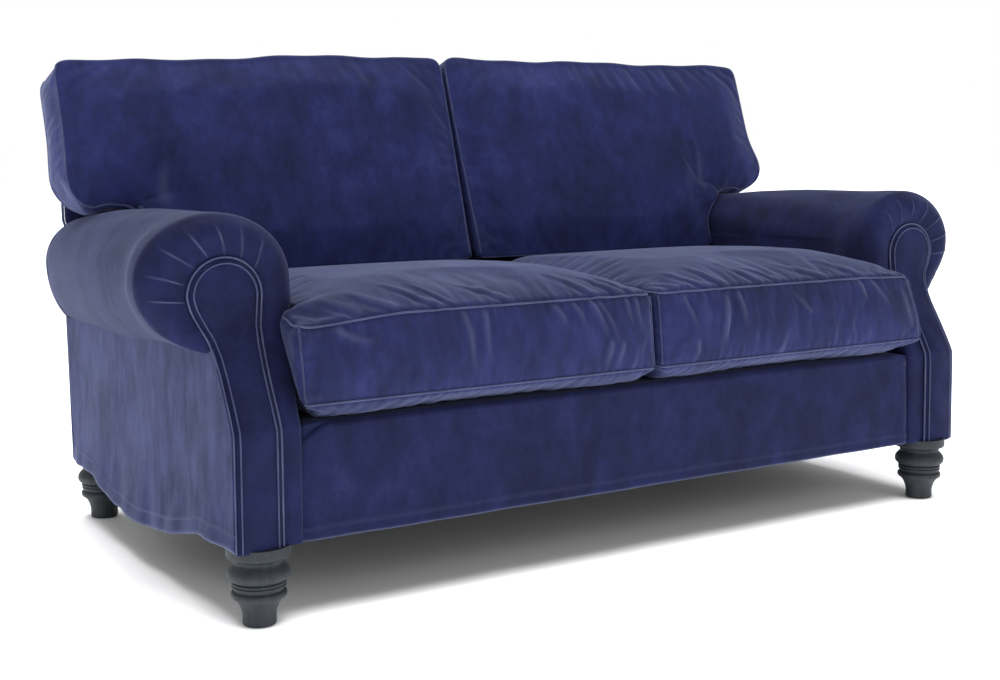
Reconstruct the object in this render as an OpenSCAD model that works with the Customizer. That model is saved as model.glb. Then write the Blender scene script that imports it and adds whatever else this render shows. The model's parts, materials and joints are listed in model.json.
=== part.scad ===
// Two-seat sofa with scroll arms, loose seat and back cushions and turned wooden legs.
// Millimetres, +Z up, the front faces -Y, the origin is on the floor under the middle.
// "left" is the -X side, which is on the left of someone who faces the sofa.

/* [Overall] */
// Width over the two arm rolls
overall_w = 1800; // [1500:10:2300]
// Depth from the seat cushion piping to the top of the outside back
overall_d = 940; // [860:10:1150]
// Height of the covers' lower edge above the floor, which is the leg height
leg_h = 130; // [100:1:180]
// Height of the velvet border under the seat cushions
border_h = 188; // [150:1:240]

/* [Back] */
// Height of the outside back above the seat deck
back_rise = 492; // [420:1:620]
// Thickness of the back at its top edge
back_top_t = 82; // [70:1:120]
// Lean of the inside back from upright, in degrees
rake = 18; // [10:1:22]
// Lean of the outside back from upright, in degrees
back_lean = 3.6; // [0:0.1:6]
// Radius of the back's rounded shoulders
shoulder_r = 150; // [80:1:200]

/* [Arms] */
// Thickness of the arm below the roll
arm_w = 121; // [100:1:160]
// Radius of the roll at the scroll front
roll_r = 110; // [95:1:130]
// Radius of the roll where it meets the outside back
roll_rear_r = 88; // [80:1:110]
// How far the roll overhangs the outside arm panel
roll_overhang = 86; // [60:1:100]
// Height of the roll's centre above the seat deck
roll_rise = 226; // [200:1:280]
// How much higher the roll's centre is at the rear
roll_lift = 14; // [0:1:25]
// How far the scroll front is set back behind the arm's foot
setback = 94; // [40:1:130]
// Height of the slope on the arm front
slope_h = 157; // [100:1:200]
// Width of the facing panel
facing_w = 80; // [60:1:95]
// Radius of the facing's round head
facing_head_r = 62; // [45:1:75]
// Thickness of the facing panel
facing_t = 8; // [5:1:14]

/* [Seat cushions] */
// Height of the cushion's boxing, front edge
seat_front_h = 170; // [120:1:220]
// Height of the cushion at its crown
seat_crown_h = 222; // [170:1:260]
// Height of the cushion under the back cushion
seat_rear_h = 186; // [140:1:230]
// Radius of the cushion's corners in plan
seat_corner_r = 28; // [10:1:60]

/* [Back cushions] */
// Thickness of the back cushion, square to its face
back_cushion_t = 121; // [90:1:150]
// Length of its front face along the lean, above the seat cushion
back_cushion_l = 449; // [380:1:560]
// Width of the wing that passes over the arm
wing_w = 166; // [120:1:190]
// Gap between the arm's top and the wing
wing_gap = 8; // [4:1:20]
// Radius of the back cushion's corners
back_corner_r = 30; // [10:1:50]

/* [Legs] */
// Largest radius of the turned bulb
bulb_r = 51; // [40:1:60]
// Radius of the foot
foot_r = 27; // [20:1:34]
// Distance of the leg's axis from the outside arm panel
leg_in = 54; // [48:1:90]
// Radius of the leg bolt
leg_bolt_r = 5; // [4:0.5:6]
// Depth of the bolt in the leg
bolt_depth = 42; // [30:1:60]

/* [Timber, springs and cloth] */
// Thickness of the base rails
rail_t = 38; // [28:1:45]
// Thickness of the back posts
post_t = 25; // [18:1:40]
// Thickness of velvet with its lining
cloth = 3; // [2:0.5:4]
// Thickness of the wadding over the arms
arm_wadding = 18; // [10:1:20]
// Thickness of the wadding over the inside back
back_wadding = 23; // [12:1:30]
// Number of serpentine seat springs
spring_n = 8; // [5:1:11]
// Thickness of the spring wire
wire_t = 4; // [3:0.5:5]
// Radius of a piping cord
piping = 4; // [3:0.5:6]

/* [Hidden] */
$fn = 96;
velvet = [0.13, 0.14, 0.36];
slate = [0.2, 0.23, 0.27];
timber = [0.72, 0.56, 0.36];
steel_grey = [0.5, 0.52, 0.55];
wadding_white = [0.9, 0.89, 0.85];

// Clearances and thin sheets
cushion_gap = 2;
stand_gap = 1.5;
dust_t = 1.5;
deck_cloth_t = 2;
deck_wadding_t = 14;
bolt_play = 0.5;
spring_play = 0.02;
post_play = 5;
cushion_proud = 17;
border_back = 12;
rail_back = 9;
roll_toe_in = 20;
spring_margin = 70;
far = 2000;

// Heights
frame_z = leg_h + dust_t;
border_top = leg_h + border_h;
deck_z = border_top + deck_cloth_t;
spring_z = border_top - deck_wadding_t - wire_t;
rail_top = spring_z;
back_z = deck_z + back_rise;
roll_z = deck_z + roll_rise;
roll_rear_z = roll_z + roll_lift;
arm_top_z = max(roll_z + roll_r, roll_rear_z + roll_rear_r);
kink_z = border_top;
scroll_z = kink_z + slope_h;

// Widths, for the +X side
half_w = overall_w / 2;
body_x = half_w - roll_overhang;
arm_in_x = body_x - arm_w;
roll_x = half_w - roll_r;
roll_in_x = min(half_w - 2 * roll_r, arm_in_x);
roll_rear_x = max(roll_in_x + roll_rear_r, roll_x - roll_toe_in);
post_in_x = max(roll_in_x + arm_wadding, arm_in_x + post_play) + cloth;
seat_out_x = roll_in_x - 2 * cushion_gap - piping;
seat_in_x = cushion_gap + piping;
wing_x = seat_out_x + wing_w;

// Depths, from front to back
front_y = -overall_d / 2;
facing_y = front_y + cushion_proud;
arm_y = facing_y + facing_t;
scroll_y = arm_y + setback;
border_y = facing_y + border_back;
rail_y = border_y + rail_back;
front_pad_t = rail_y - arm_y - cloth;
leg_front_y = rail_y + rail_t / 2;

// The outside back and the inside back as lines that lean backwards
function out_y(z) = overall_d / 2 - (back_z - z) * tan(back_lean);
function in_y(z) = overall_d / 2 - back_top_t - (back_z - z) * tan(rake);

back_rail_y = out_y(frame_z) - cloth - rail_t;
leg_rear_y = back_rail_y + rail_t / 2;
scroll_post_y = scroll_y + cloth + front_pad_t;
deck_rear_y = in_y(rail_top);
seat_front_y = front_y + piping;
seat_rear_y = in_y(deck_z) - cushion_gap - piping;

// The board inside the roll
board_w = 88;
board_t = 20;
board_x = (roll_x + roll_rear_x) / 2;
board_z = (roll_z + roll_rear_z) / 2;

// Back timbers stand behind the cover, the wadding and the webbing
web_t = 2;
timber_play = 0.05;
back_low_z = rail_top + wire_t + 2;
back_timber = cloth + back_wadding + web_t + timber_play;
post_out_x = roll_in_x - 1 - cloth - back_wadding;
post_top = back_z - cloth - back_wadding - 2;

// Springs run from the middle of the front rail to the middle of the back rail
spring_front_y = rail_y + rail_t / 2;
spring_rear_y = back_rail_y + rail_t / 2;
spring_pitch = 2 * (arm_in_x - spring_margin) / (spring_n - 1);

// Leg fixings and glides
nut_r = 7;
nut_l = 16;
flange_r = 12;
flange_t = 2;
bolt_up = 60;
glide_r = 14;
glide_h = 5;
glide_out = 1;

// Cushions: the back cushion stands on the seat cushion and leans on the inside back
cushion_z = deck_z + stand_gap;
cover_t = 2;
zip_t = 1.5;
zip_w = 24;
zip_end = 60;
back_stand_z = cushion_z + seat_rear_h + 2 * cushion_gap;
lean_y = in_y(back_stand_z) - (cushion_gap + back_cushion_t) / cos(rake);

// A 2D outline in X and Z, pushed from y0 to y1
module along_y(y0, y1) {
    translate([0, y1, 0]) rotate([90, 0, 0]) linear_extrude(y1 - y0) children();
}

// A 2D outline in Y and Z, pushed from x0 to x1
module along_x(x0, x1) {
    translate([x0, 0, 0]) rotate([90, 0, 90]) linear_extrude(x1 - x0) children();
}

// The +X side as drawn, or its mirror image
module on_side(side) {
    if (side == "left") mirror([1, 0, 0]) children();
    else children();
}

module box(x0, x1, y0, y1, z0, z1) {
    translate([x0, y0, z0]) cube([x1 - x0, y1 - y0, z1 - z0]);
}

// ---- base frame ----

module base_rail(y0) {
    bolt_x = body_x - leg_in;
    hole_over = 6;
    color(timber) difference() {
        box(-body_x + cloth, body_x - cloth, y0, y0 + rail_t, frame_z, rail_top);
        for (s = [-1, 1]) translate([s * bolt_x, y0 + rail_t / 2, frame_z - 1]) {
            cylinder(r = nut_r, h = nut_l + 1);
            cylinder(r = leg_bolt_r + bolt_play, h = bolt_up + hole_over);
            cylinder(r = flange_r, h = flange_t + 1);
        }
    }
}

module side_rail(side) {
    color(timber) on_side(side)
        box(body_x - cloth - rail_t, body_x - cloth, rail_y + rail_t, back_rail_y, frame_z, rail_top);
}

module centre_rail() {
    spring_room = 40;
    color(timber)
        box(-rail_t / 2, rail_t / 2, rail_y + rail_t, back_rail_y, frame_z, rail_top - spring_room);
}

module corner_blocks() {
    leg = 90;
    block_up = 20;
    block_h = 60;
    x = body_x - cloth - rail_t;
    color("burlywood") for (sx = [-1, 1]) for (end = [0, 1]) {
        y = end == 0 ? rail_y + rail_t : back_rail_y;
        sy = end == 0 ? 1 : -1;
        translate([0, 0, frame_z + block_up]) linear_extrude(block_h)
            polygon([[sx * x, y], [sx * (x - leg), y], [sx * x, y + sy * leg]]);
    }
}

// ---- arm ----

// The roll: a slightly tapered round bar from the scroll front to the outside back
module roll(inset) {
    a = [roll_x, scroll_y, roll_z];
    b = [roll_rear_x, out_y(roll_rear_z), roll_rear_z];
    d = b - a;
    len = norm(d);
    over = 80;
    grow = (roll_rear_r - roll_r) / len * over;
    translate(a) rotate([0, acos(d.z / len), atan2(d.y, d.x)]) translate([0, 0, -over])
        cylinder(r1 = roll_r - grow - inset, r2 = roll_rear_r + grow - inset, h = len + 2 * over);
}

// Front and rear limits of the arm, seen from the side
module arm_side(inset) {
    rear = cloth;
    polygon([
        [arm_y + inset, leg_h], [arm_y + inset, kink_z], [scroll_y + inset, scroll_z],
        [scroll_y + inset, back_z], [out_y(back_z) - rear, back_z], [out_y(leg_h) - rear, leg_h]
    ]);
}

// Cross-section of the arm under the roll
module arm_section(inset, low) {
    polygon([
        [arm_in_x + inset, low], [body_x - inset, low], [body_x - inset, roll_z],
        [roll_in_x + inset, roll_z], [roll_in_x + inset, deck_z + 120], [arm_in_x + inset, deck_z + 12]
    ]);
}

// The whole arm as a body, each face moved inwards by the inset
module arm_body(inset, front, low) {
    intersection() {
        union() {
            roll(inset);
            along_y(-far, far) arm_section(inset, low);
        }
        along_x(0, far) arm_side(front);
    }
}

// The same arm, open below and behind, to hollow it
module arm_hollow(inset, front) {
    difference() {
        union() {
            roll(inset);
            along_y(-far, far) arm_section(inset, 0);
        }
        along_x(0, far) polygon([
            [-far, 0], [arm_y + front, 0], [arm_y + front, kink_z], [scroll_y + front, scroll_z],
            [scroll_y + front, far], [-far, far]
        ]);
    }
}

// The flat wall under the roll that the outside arm panel fills
module outside_wall(proud) {
    difference() {
        box(body_x - cloth, body_x + proud, -far, far, 0, roll_z);
        roll(0);
    }
}

module arm_cover(side) {
    color(velvet) on_side(side) difference() {
        arm_body(0, 0, leg_h);
        arm_hollow(cloth, cloth);
        outside_wall(1);
        box(0, arm_in_x + cloth + 0.01, rail_y, far, 0, rail_top);
    }
}

// Wadding between the cover and the timbers, cut to fit round the two posts
module arm_pad(side) {
    inner_x = body_x - cloth - arm_wadding;
    color(wadding_white) on_side(side) difference() {
        arm_body(cloth, cloth, frame_z);
        arm_hollow(cloth + arm_wadding, cloth + front_pad_t);
        box(0, far, rail_y, far, 0, rail_top);
        difference() {
            box(inner_x, far, rail_y, far, 0, roll_z);
            roll(cloth);
        }
        front_post_body();
        rear_post_body();
    }
}

module outside_arm_panel(side) {
    color(velvet) on_side(side) intersection() {
        outside_wall(0);
        along_x(0, far) arm_side(0);
    }
}

// Outline of the facing, widened by the offset
module facing_outline(grow) {
    offset(r = grow) {
        translate([body_x - cloth - facing_w, leg_h - 20]) square([facing_w, roll_z - leg_h]);
        translate([roll_x - 6, roll_z - 24]) circle(r = facing_head_r);
    }
}

// A band that follows the slope of the arm front, from one depth to another
module front_band(near, deep) {
    polygon([
        [arm_y + near, leg_h], [arm_y + near, kink_z], [scroll_y + near, scroll_z],
        [scroll_y + near, back_z], [scroll_y + deep, back_z], [scroll_y + deep, scroll_z],
        [arm_y + deep, kink_z], [arm_y + deep, leg_h]
    ]);
}

module arm_facing(side) {
    color(velvet) on_side(side) intersection() {
        along_y(front_y, 0) facing_outline(0);
        along_x(0, far) front_band(-facing_t, 0);
    }
}

module facing_piping(side) {
    color(velvet * 1.5) on_side(side) intersection() {
        along_y(front_y, 0) difference() {
            facing_outline(piping + 1);
            facing_outline(0);
        }
        along_x(0, far) front_band(1 - facing_t, 0);
    }
}

module front_post_body() {
    out_x = body_x - cloth;
    head_play = 8;
    head_r = roll_r - cloth - arm_wadding - head_play;
    intersection() {
        along_y(front_y, 0) {
            translate([post_in_x, rail_top]) square([out_x - post_in_x, roll_z - rail_top]);
            translate([roll_x, roll_z]) circle(r = head_r);
        }
        along_x(0, far) front_band(cloth + front_pad_t, cloth + front_pad_t + rail_t);
    }
}

module rear_post_body() {
    in_x = post_in_x + 10;
    box(in_x, body_x - cloth, back_rail_y, back_rail_y + rail_t, rail_top, board_z + board_t / 2);
}

module arm_front_post(side) {
    color(timber) on_side(side) front_post_body();
}

module arm_rear_posts() {
    color(timber) for (s = ["left", "right"]) on_side(s) rear_post_body();
}

module arm_board(side) {
    color(timber) on_side(side) box(board_x - board_w / 2, board_x + board_w / 2,
        scroll_post_y + rail_t, back_rail_y, board_z - board_t / 2, board_z + board_t / 2);
}

// ---- back ----

// Outline of the back from the front: between the arms below, full width with round shoulders above
module back_outline(inset) {
    low_x = roll_in_x - 1;
    wide_x = body_x;
    wing_z = arm_top_z + 3;
    top = back_z - inset;
    r = shoulder_r - inset;
    translate([-low_x + inset, back_low_z]) square([2 * (low_x - inset), top - r - back_low_z]);
    translate([-wide_x + shoulder_r, wing_z]) square([2 * (wide_x - shoulder_r), top - wing_z]);
    intersection() {
        translate([-wide_x + inset, wing_z + inset])
            square([2 * (wide_x - inset), top - wing_z - inset]);
        union() {
            for (s = [-1, 1]) translate([s * (wide_x - shoulder_r), back_z - shoulder_r]) circle(r = r);
            translate([-wide_x, 0]) square([2 * wide_x, back_z - shoulder_r]);
        }
    }
}

// Side view of the back: raked in front, nearly upright behind
module back_side(inset, rear) {
    polygon([
        [in_y(0) + inset, 0], [in_y(back_z) + inset, back_z],
        [out_y(back_z) - rear, back_z], [out_y(0) - rear, 0]
    ]);
}

module back_body(inset, rear) {
    intersection() {
        along_y(0, far) back_outline(inset);
        along_x(-far, far) back_side(inset, rear);
    }
}

module inside_back_cover() {
    color(velvet) difference() {
        back_body(0, cloth);
        back_body(cloth, 0);
    }
}

module inside_back_pad() {
    color(wadding_white) difference() {
        back_body(cloth, cloth);
        back_body(cloth + back_wadding, 0);
    }
}

module outside_back_panel() {
    color(velvet) intersection() {
        along_y(0, far) {
            translate([-body_x, leg_h]) square([2 * body_x, back_z - shoulder_r - leg_h]);
            translate([-body_x + shoulder_r, leg_h])
                square([2 * (body_x - shoulder_r), back_z - leg_h]);
            for (s = [-1, 1]) {
                translate([s * (body_x - shoulder_r), back_z - shoulder_r]) circle(r = shoulder_r);
                translate([s * roll_rear_x, roll_rear_z]) circle(r = roll_rear_r);
            }
        }
        along_x(-far, far) polygon([
            [out_y(0) - cloth, 0], [out_y(back_z) - cloth, back_z], [out_y(back_z), back_z],
            [out_y(0), 0]
        ]);
    }
}

module back_post(side) {
    color(timber) on_side(side) along_x(post_out_x - post_t, post_out_x) polygon([
        [in_y(back_low_z) + back_timber, back_low_z], [in_y(post_top) + back_timber, post_top],
        [out_y(post_top) - cloth - timber_play, post_top],
        [out_y(back_low_z) - cloth - timber_play, back_low_z]
    ]);
}

module back_top_rail() {
    low = post_top - 50;
    x = post_out_x - post_t;
    color(timber) along_x(-x, x) polygon([
        [in_y(low) + back_timber, low], [in_y(post_top) + back_timber, post_top],
        [out_y(post_top) - cloth - timber_play, post_top], [out_y(low) - cloth - timber_play, low]
    ]);
}

module back_tack_rail() {
    low = deck_z + 20;
    high = low + 50;
    x = post_out_x - post_t;
    color(timber) along_x(-x, x) polygon([
        [in_y(low) + back_timber, low], [in_y(high) + back_timber, high],
        [in_y(high) + back_timber + 30, high], [in_y(low) + back_timber + 30, low]
    ]);
}

module shoulder_blocks() {
    inset = cloth + back_wadding;
    color(timber) for (s = ["left", "right"]) on_side(s) intersection() {
        back_body(inset + web_t, cloth + timber_play);
        box(post_out_x, far, 0, far, arm_top_z + 3 + inset, post_top);
    }
}

module back_webbing() {
    low = deck_z + 25;
    high = post_top - 5;
    n = 7;
    strap = 50;
    pitch = 2 * (post_out_x - post_t - strap) / n;
    near = cloth + back_wadding + timber_play / 2;
    deep = near + web_t - timber_play / 2;
    color("saddlebrown") for (i = [0 : n - 1]) {
        x = (i - (n - 1) / 2) * pitch;
        along_x(x - strap / 2, x + strap / 2) polygon([
            [in_y(low) + near, low], [in_y(high) + near, high],
            [in_y(high) + deep, high], [in_y(low) + deep, low]
        ]);
    }
}

// ---- seat deck ----

// One serpentine spring lying flat: straight runs joined by half rings
module serpentine(length) {
    run = 46;
    turns = floor(length / 44);
    step = length / turns;
    r = step / 2;
    for (k = [0 : turns - 1]) {
        s = k % 2 == 0 ? 1 : -1;
        translate([s * run / 2, (k + 0.5) * step]) difference() {
            circle(r = r + wire_t / 2);
            circle(r = r - wire_t / 2);
            translate([s > 0 ? -far : 0, -far / 2]) square([far, far]);
        }
        translate([-run / 2 - 0.05, k * step - wire_t / 2]) square([run + 0.1, wire_t]);
    }
    translate([-run / 2, length - wire_t / 2]) square([run, wire_t]);
}

module seat_springs() {
    color(steel_grey) for (i = [0 : spring_n - 1])
        translate([(i - (spring_n - 1) / 2) * spring_pitch, spring_front_y, spring_z])
            linear_extrude(wire_t) serpentine(spring_rear_y - spring_front_y);
}

module spring_clips() {
    w = 20;
    color("dimgray") for (i = [0 : spring_n - 1]) for (end = [0, 1]) {
        y = end == 0 ? spring_front_y : spring_rear_y;
        s = end == 0 ? -1 : 1;
        near = wire_t / 2 + spring_play;
        clip_x = (i - (spring_n - 1) / 2) * spring_pitch - w / 2;
        clip_y = y + (s > 0 ? near : -near - 8);
        translate([clip_x, clip_y, spring_z])
            cube([w, 8, wire_t]);
    }
}

module deck_pad() {
    color(wadding_white)
        box(-arm_in_x, arm_in_x, rail_y, deck_rear_y, spring_z + wire_t, border_top);
}

module deck_cover() {
    color(velvet) box(-arm_in_x, arm_in_x, border_y, deck_rear_y, border_top, deck_z);
}

module front_border() {
    color(velvet) box(-arm_in_x, arm_in_x, border_y, rail_y, leg_h, border_top);
}

module dust_cover() {
    x = body_x - cloth;
    color("dimgray") difference() {
        box(-x, x, rail_y, out_y(leg_h) - cloth, leg_h, frame_z);
        for (s = [-1, 1]) for (y = [leg_front_y, leg_rear_y])
            translate([s * (body_x - leg_in), y, 0]) cylinder(r = flange_r, h = far);
    }
}

// ---- legs ----

// Half profile of the turned leg: foot, taper, ring, beads, bulb, neck and collar
module leg_profile() {
    k = leg_h / 130;
    neck_r = bulb_r * 0.78;
    ring_z = 51 * k;
    bead_z = 67 * k;
    bulb_z = 84 * k;
    collar_z = 116 * k;
    bulb_c = bulb_r - 17;
    polygon([
        [0, glide_out], [foot_r - 1.5, glide_out], [foot_r, glide_out + 1.5], [foot_r, 20 * k],
        [foot_r + 4, 31 * k], [neck_r - 2, 43 * k], [neck_r, ring_z], [neck_r, leg_h], [0, leg_h]
    ]);
    translate([bulb_r - 13, ring_z]) circle(r = 6.5);
    for (dz = [-3.2, 3.2]) translate([neck_r + 1.2, bead_z + dz]) circle(r = 2.8);
    translate([bulb_c, bulb_z]) circle(r = bulb_r - bulb_c);
    translate([bulb_r - 6, collar_z]) circle(r = 6.5);
    translate([0, collar_z + 3]) square([bulb_r + 1, leg_h - collar_z - 3]);
}

module leg(side, y) {
    color(slate) on_side(side) translate([body_x - leg_in, y, 0]) difference() {
        rotate_extrude() leg_profile();
        translate([0, 0, leg_h - bolt_depth]) cylinder(r = leg_bolt_r, h = bolt_depth + 1);
        cylinder(r = glide_r, h = glide_h);
    }
}

module at_legs() {
    for (s = [-1, 1]) for (y = [leg_front_y, leg_rear_y])
        translate([s * (body_x - leg_in), y, 0]) children();
}

module leg_bolts() {
    color(steel_grey) at_legs() translate([0, 0, leg_h - bolt_depth])
        cylinder(r = leg_bolt_r, h = bolt_depth + bolt_up);
}

module leg_nuts() {
    color("silver") at_legs() translate([0, 0, frame_z]) difference() {
        union() {
            cylinder(r = nut_r, h = nut_l);
            cylinder(r = flange_r, h = flange_t);
        }
        translate([0, 0, -1]) cylinder(r = leg_bolt_r, h = nut_l + 2);
    }
}

module leg_glides() {
    color("black") at_legs() cylinder(r = glide_r, h = glide_h);
}

// ---- seat cushions ----

// Plan of a seat cushion with rounded corners
module seat_plan(grow) {
    offset(r = grow) offset(r = seat_corner_r) translate([seat_in_x, seat_front_y])
        offset(delta = -seat_corner_r) square([seat_out_x - seat_in_x, seat_rear_y - seat_front_y]);
}

// Crowned side view of a seat cushion
module seat_side(inset) {
    d = seat_rear_y - seat_front_y;
    base = cushion_z + inset;
    polygon([
        [front_y - 1, base], [front_y - 1, cushion_z + seat_front_h - inset],
        [seat_front_y + 0.10 * d, cushion_z + 0.85 * seat_crown_h + 0.15 * seat_front_h - inset],
        [seat_front_y + 0.24 * d, cushion_z + seat_crown_h - inset],
        [seat_front_y + 0.45 * d, cushion_z + seat_crown_h - inset],
        [seat_front_y + 0.75 * d, cushion_z + seat_rear_h - inset],
        [far, cushion_z + seat_rear_h - inset], [far, base]
    ]);
}

module seat_body(inset) {
    intersection() {
        translate([0, 0, cushion_z]) linear_extrude(far) seat_plan(-inset);
        along_x(0, far) seat_side(inset);
    }
}

module seat_cushion(side) {
    color(velvet) on_side(side) difference() {
        seat_body(0);
        seat_body(cover_t);
    }
}

module seat_filling(side) {
    color(wadding_white) on_side(side) seat_body(cover_t);
}

// Piping round the bottom and the top of the boxing
module seat_piping(side) {
    low_z = cushion_z + 26;
    high_z = cushion_z + min(seat_front_h, seat_rear_h) - 2 * piping;
    color(velvet * 1.5) on_side(side) for (z = [low_z, high_z])
        translate([0, 0, z]) linear_extrude(2 * piping) difference() {
            seat_plan(piping);
            seat_plan(0);
        }
}

module seat_zip(side) {
    z = cushion_z + seat_rear_h / 2;
    color("midnightblue") on_side(side)
        box(seat_in_x + zip_end, seat_out_x - zip_end, seat_rear_y, seat_rear_y + zip_t, z - zip_w / 2,
            z + zip_w / 2);
}

// ---- back cushions ----

// Turns drawings made flat in X and Y so that they lean with the back; z becomes depth
module leaning() {
    translate([0, lean_y, back_stand_z]) rotate([90 - rake, 0, 0]) mirror([0, 0, 1]) children();
}

// Outline of the cushion's face; the wing starts above the arm
module back_face(grow) {
    wing_low = (arm_top_z - back_stand_z) / cos(rake) - 60;
    low = -80;
    offset(r = grow) offset(r = -0.5 * back_corner_r) offset(r = 0.5 * back_corner_r)
        offset(r = back_corner_r) offset(delta = -back_corner_r) {
            translate([seat_in_x, low]) square([seat_out_x - seat_in_x, back_cushion_l - low]);
            translate([seat_in_x, wing_low]) square([wing_x - seat_in_x, back_cushion_l - wing_low]);
        }
}

// Everything under the cushion's flat foot and under its wing
module below_back_cushion(inset) {
    box(-1, seat_out_x + piping + 2, -far, far, -far, back_stand_z + inset);
    box(seat_out_x + piping + 2 - inset, far, -far, far, -far, arm_top_z + wing_gap + inset);
}

module back_cushion_body(inset) {
    difference() {
        leaning() translate([0, 0, inset]) linear_extrude(back_cushion_t - 2 * inset) back_face(-inset);
        below_back_cushion(inset);
    }
}

module back_cushion(side) {
    color(velvet) on_side(side) difference() {
        back_cushion_body(0);
        back_cushion_body(cover_t);
    }
}

module back_filling(side) {
    color(wadding_white) on_side(side) back_cushion_body(cover_t);
}

module back_piping(side) {
    color(velvet * 1.5) on_side(side) difference() {
        leaning() for (t = [1, back_cushion_t - 2 * piping - 1])
            translate([0, 0, t]) linear_extrude(2 * piping) difference() {
                back_face(piping);
                back_face(0);
            }
        below_back_cushion(0);
    }
}

module back_zip(side) {
    y = lean_y + back_cushion_t / 2;
    color("midnightblue") on_side(side)
        box(seat_in_x + zip_end, seat_out_x - zip_end, y - zip_w / 2, y + zip_w / 2,
            back_stand_z - zip_t, back_stand_z);
}

// ---- parts ----

base_rail(rail_y);  // front_rail
base_rail(back_rail_y);  // back_rail
side_rail("left");  // side_rail_left
side_rail("right");  // side_rail_right
centre_rail();
corner_blocks();
arm_front_post("left");  // arm_front_post_left
arm_front_post("right");  // arm_front_post_right
arm_rear_posts();
arm_board("left");  // arm_board_left
arm_board("right");  // arm_board_right
back_post("left");  // back_post_left
back_post("right");  // back_post_right
back_top_rail();
back_tack_rail();
shoulder_blocks();
seat_springs();
spring_clips();
back_webbing();
deck_pad();
deck_cover();
front_border();
dust_cover();
inside_back_pad();
inside_back_cover();
outside_back_panel();
arm_pad("left");  // arm_pad_left
arm_pad("right");  // arm_pad_right
arm_cover("left");  // arm_cover_left
arm_cover("right");  // arm_cover_right
outside_arm_panel("left");  // outside_arm_panel_left
outside_arm_panel("right");  // outside_arm_panel_right
arm_facing("left");  // arm_facing_left
arm_facing("right");  // arm_facing_right
facing_piping("left");  // facing_piping_left
facing_piping("right");  // facing_piping_right
leg("left", leg_front_y);  // leg_front_left
leg("right", leg_front_y);  // leg_front_right
leg("left", leg_rear_y);  // leg_rear_left
leg("right", leg_rear_y);  // leg_rear_right
leg_bolts();
leg_nuts();
leg_glides();
seat_cushion("left");  // seat_cushion_left
seat_cushion("right");  // seat_cushion_right
seat_filling("left");  // seat_filling_left
seat_filling("right");  // seat_filling_right
seat_piping("left");  // seat_piping_left
seat_piping("right");  // seat_piping_right
seat_zip("left");  // seat_zip_left
seat_zip("right");  // seat_zip_right
back_cushion("left");  // back_cushion_left
back_cushion("right");  // back_cushion_right
back_filling("left");  // back_filling_left
back_filling("right");  // back_filling_right
back_piping("left");  // back_piping_left
back_piping("right");  // back_piping_right
back_zip("left");  // back_zip_left
back_zip("right");  // back_zip_right
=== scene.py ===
# %% [markdown]
# # A two-seat scroll-arm sofa in velvet, on turned legs
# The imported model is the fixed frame: it gives every piece its place and its motion.
# This lesson dresses it, so that the covers, cushions and legs look like the real ones.

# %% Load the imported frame
import json
import math

import bpy
import numpy as np
from mathutils import Matrix, Vector
from mathutils.bvhtree import BVHTree
from mathutils.kdtree import KDTree


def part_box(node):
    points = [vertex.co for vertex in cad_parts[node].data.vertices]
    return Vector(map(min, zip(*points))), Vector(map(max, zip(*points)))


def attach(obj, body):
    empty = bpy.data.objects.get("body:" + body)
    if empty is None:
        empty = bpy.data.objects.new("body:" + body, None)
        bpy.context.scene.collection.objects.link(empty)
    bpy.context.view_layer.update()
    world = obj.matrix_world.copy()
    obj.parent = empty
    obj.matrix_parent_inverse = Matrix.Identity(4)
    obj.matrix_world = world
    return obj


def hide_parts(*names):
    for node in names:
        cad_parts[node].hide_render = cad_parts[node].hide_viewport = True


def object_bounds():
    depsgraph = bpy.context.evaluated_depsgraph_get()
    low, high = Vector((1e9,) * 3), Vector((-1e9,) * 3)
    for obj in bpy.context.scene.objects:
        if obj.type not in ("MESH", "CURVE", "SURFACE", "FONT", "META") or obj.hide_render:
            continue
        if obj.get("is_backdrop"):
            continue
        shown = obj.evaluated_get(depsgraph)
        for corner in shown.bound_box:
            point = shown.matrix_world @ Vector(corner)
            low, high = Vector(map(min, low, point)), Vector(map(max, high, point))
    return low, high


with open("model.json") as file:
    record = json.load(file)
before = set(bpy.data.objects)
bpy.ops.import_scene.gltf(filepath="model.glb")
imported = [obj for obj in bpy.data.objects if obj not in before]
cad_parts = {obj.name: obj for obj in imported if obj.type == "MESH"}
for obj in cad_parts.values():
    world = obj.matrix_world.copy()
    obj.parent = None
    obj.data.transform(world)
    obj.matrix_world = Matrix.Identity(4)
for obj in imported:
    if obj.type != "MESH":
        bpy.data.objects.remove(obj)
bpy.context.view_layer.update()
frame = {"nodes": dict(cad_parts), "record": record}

# %% [markdown]
# ## Camera
# The camera comes first, because every later choice is judged through it. It stands in
# front of the left arm, just above the arm's height, and looks a little down. A small
# upward lens shift keeps the sofa's uprights parallel, as a furniture camera does.

# %% Camera
bpy.ops.object.select_all(action="DESELECT")
YAW, PITCH, ROLL = math.radians(32.26), math.radians(4.95), math.radians(-0.38)
ahead = Vector((math.sin(YAW) * math.cos(PITCH), math.cos(YAW) * math.cos(PITCH), -math.sin(PITCH)))
level = Vector((math.cos(YAW), -math.sin(YAW), 0))
above = level.cross(ahead)
right = level * math.cos(ROLL) + above * math.sin(ROLL)
above = above * math.cos(ROLL) - level * math.sin(ROLL)
bpy.ops.object.camera_add(location=(0, 0, 0))
camera = bpy.context.object
camera.name = "studio_camera"
camera.data.lens = 52.22
camera.data.sensor_width = 36
camera.data.shift_x = -0.0028
camera.data.shift_y = -0.0681
camera.data.clip_start = 0.1
turn = Matrix((right, above, -ahead)).transposed().to_4x4()
camera.matrix_world = Matrix.Translation((-1.6362, -2.5362, 0.7577)) @ turn
bpy.context.scene.camera = camera
print("camera lens", camera.data.lens, "mm")

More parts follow.
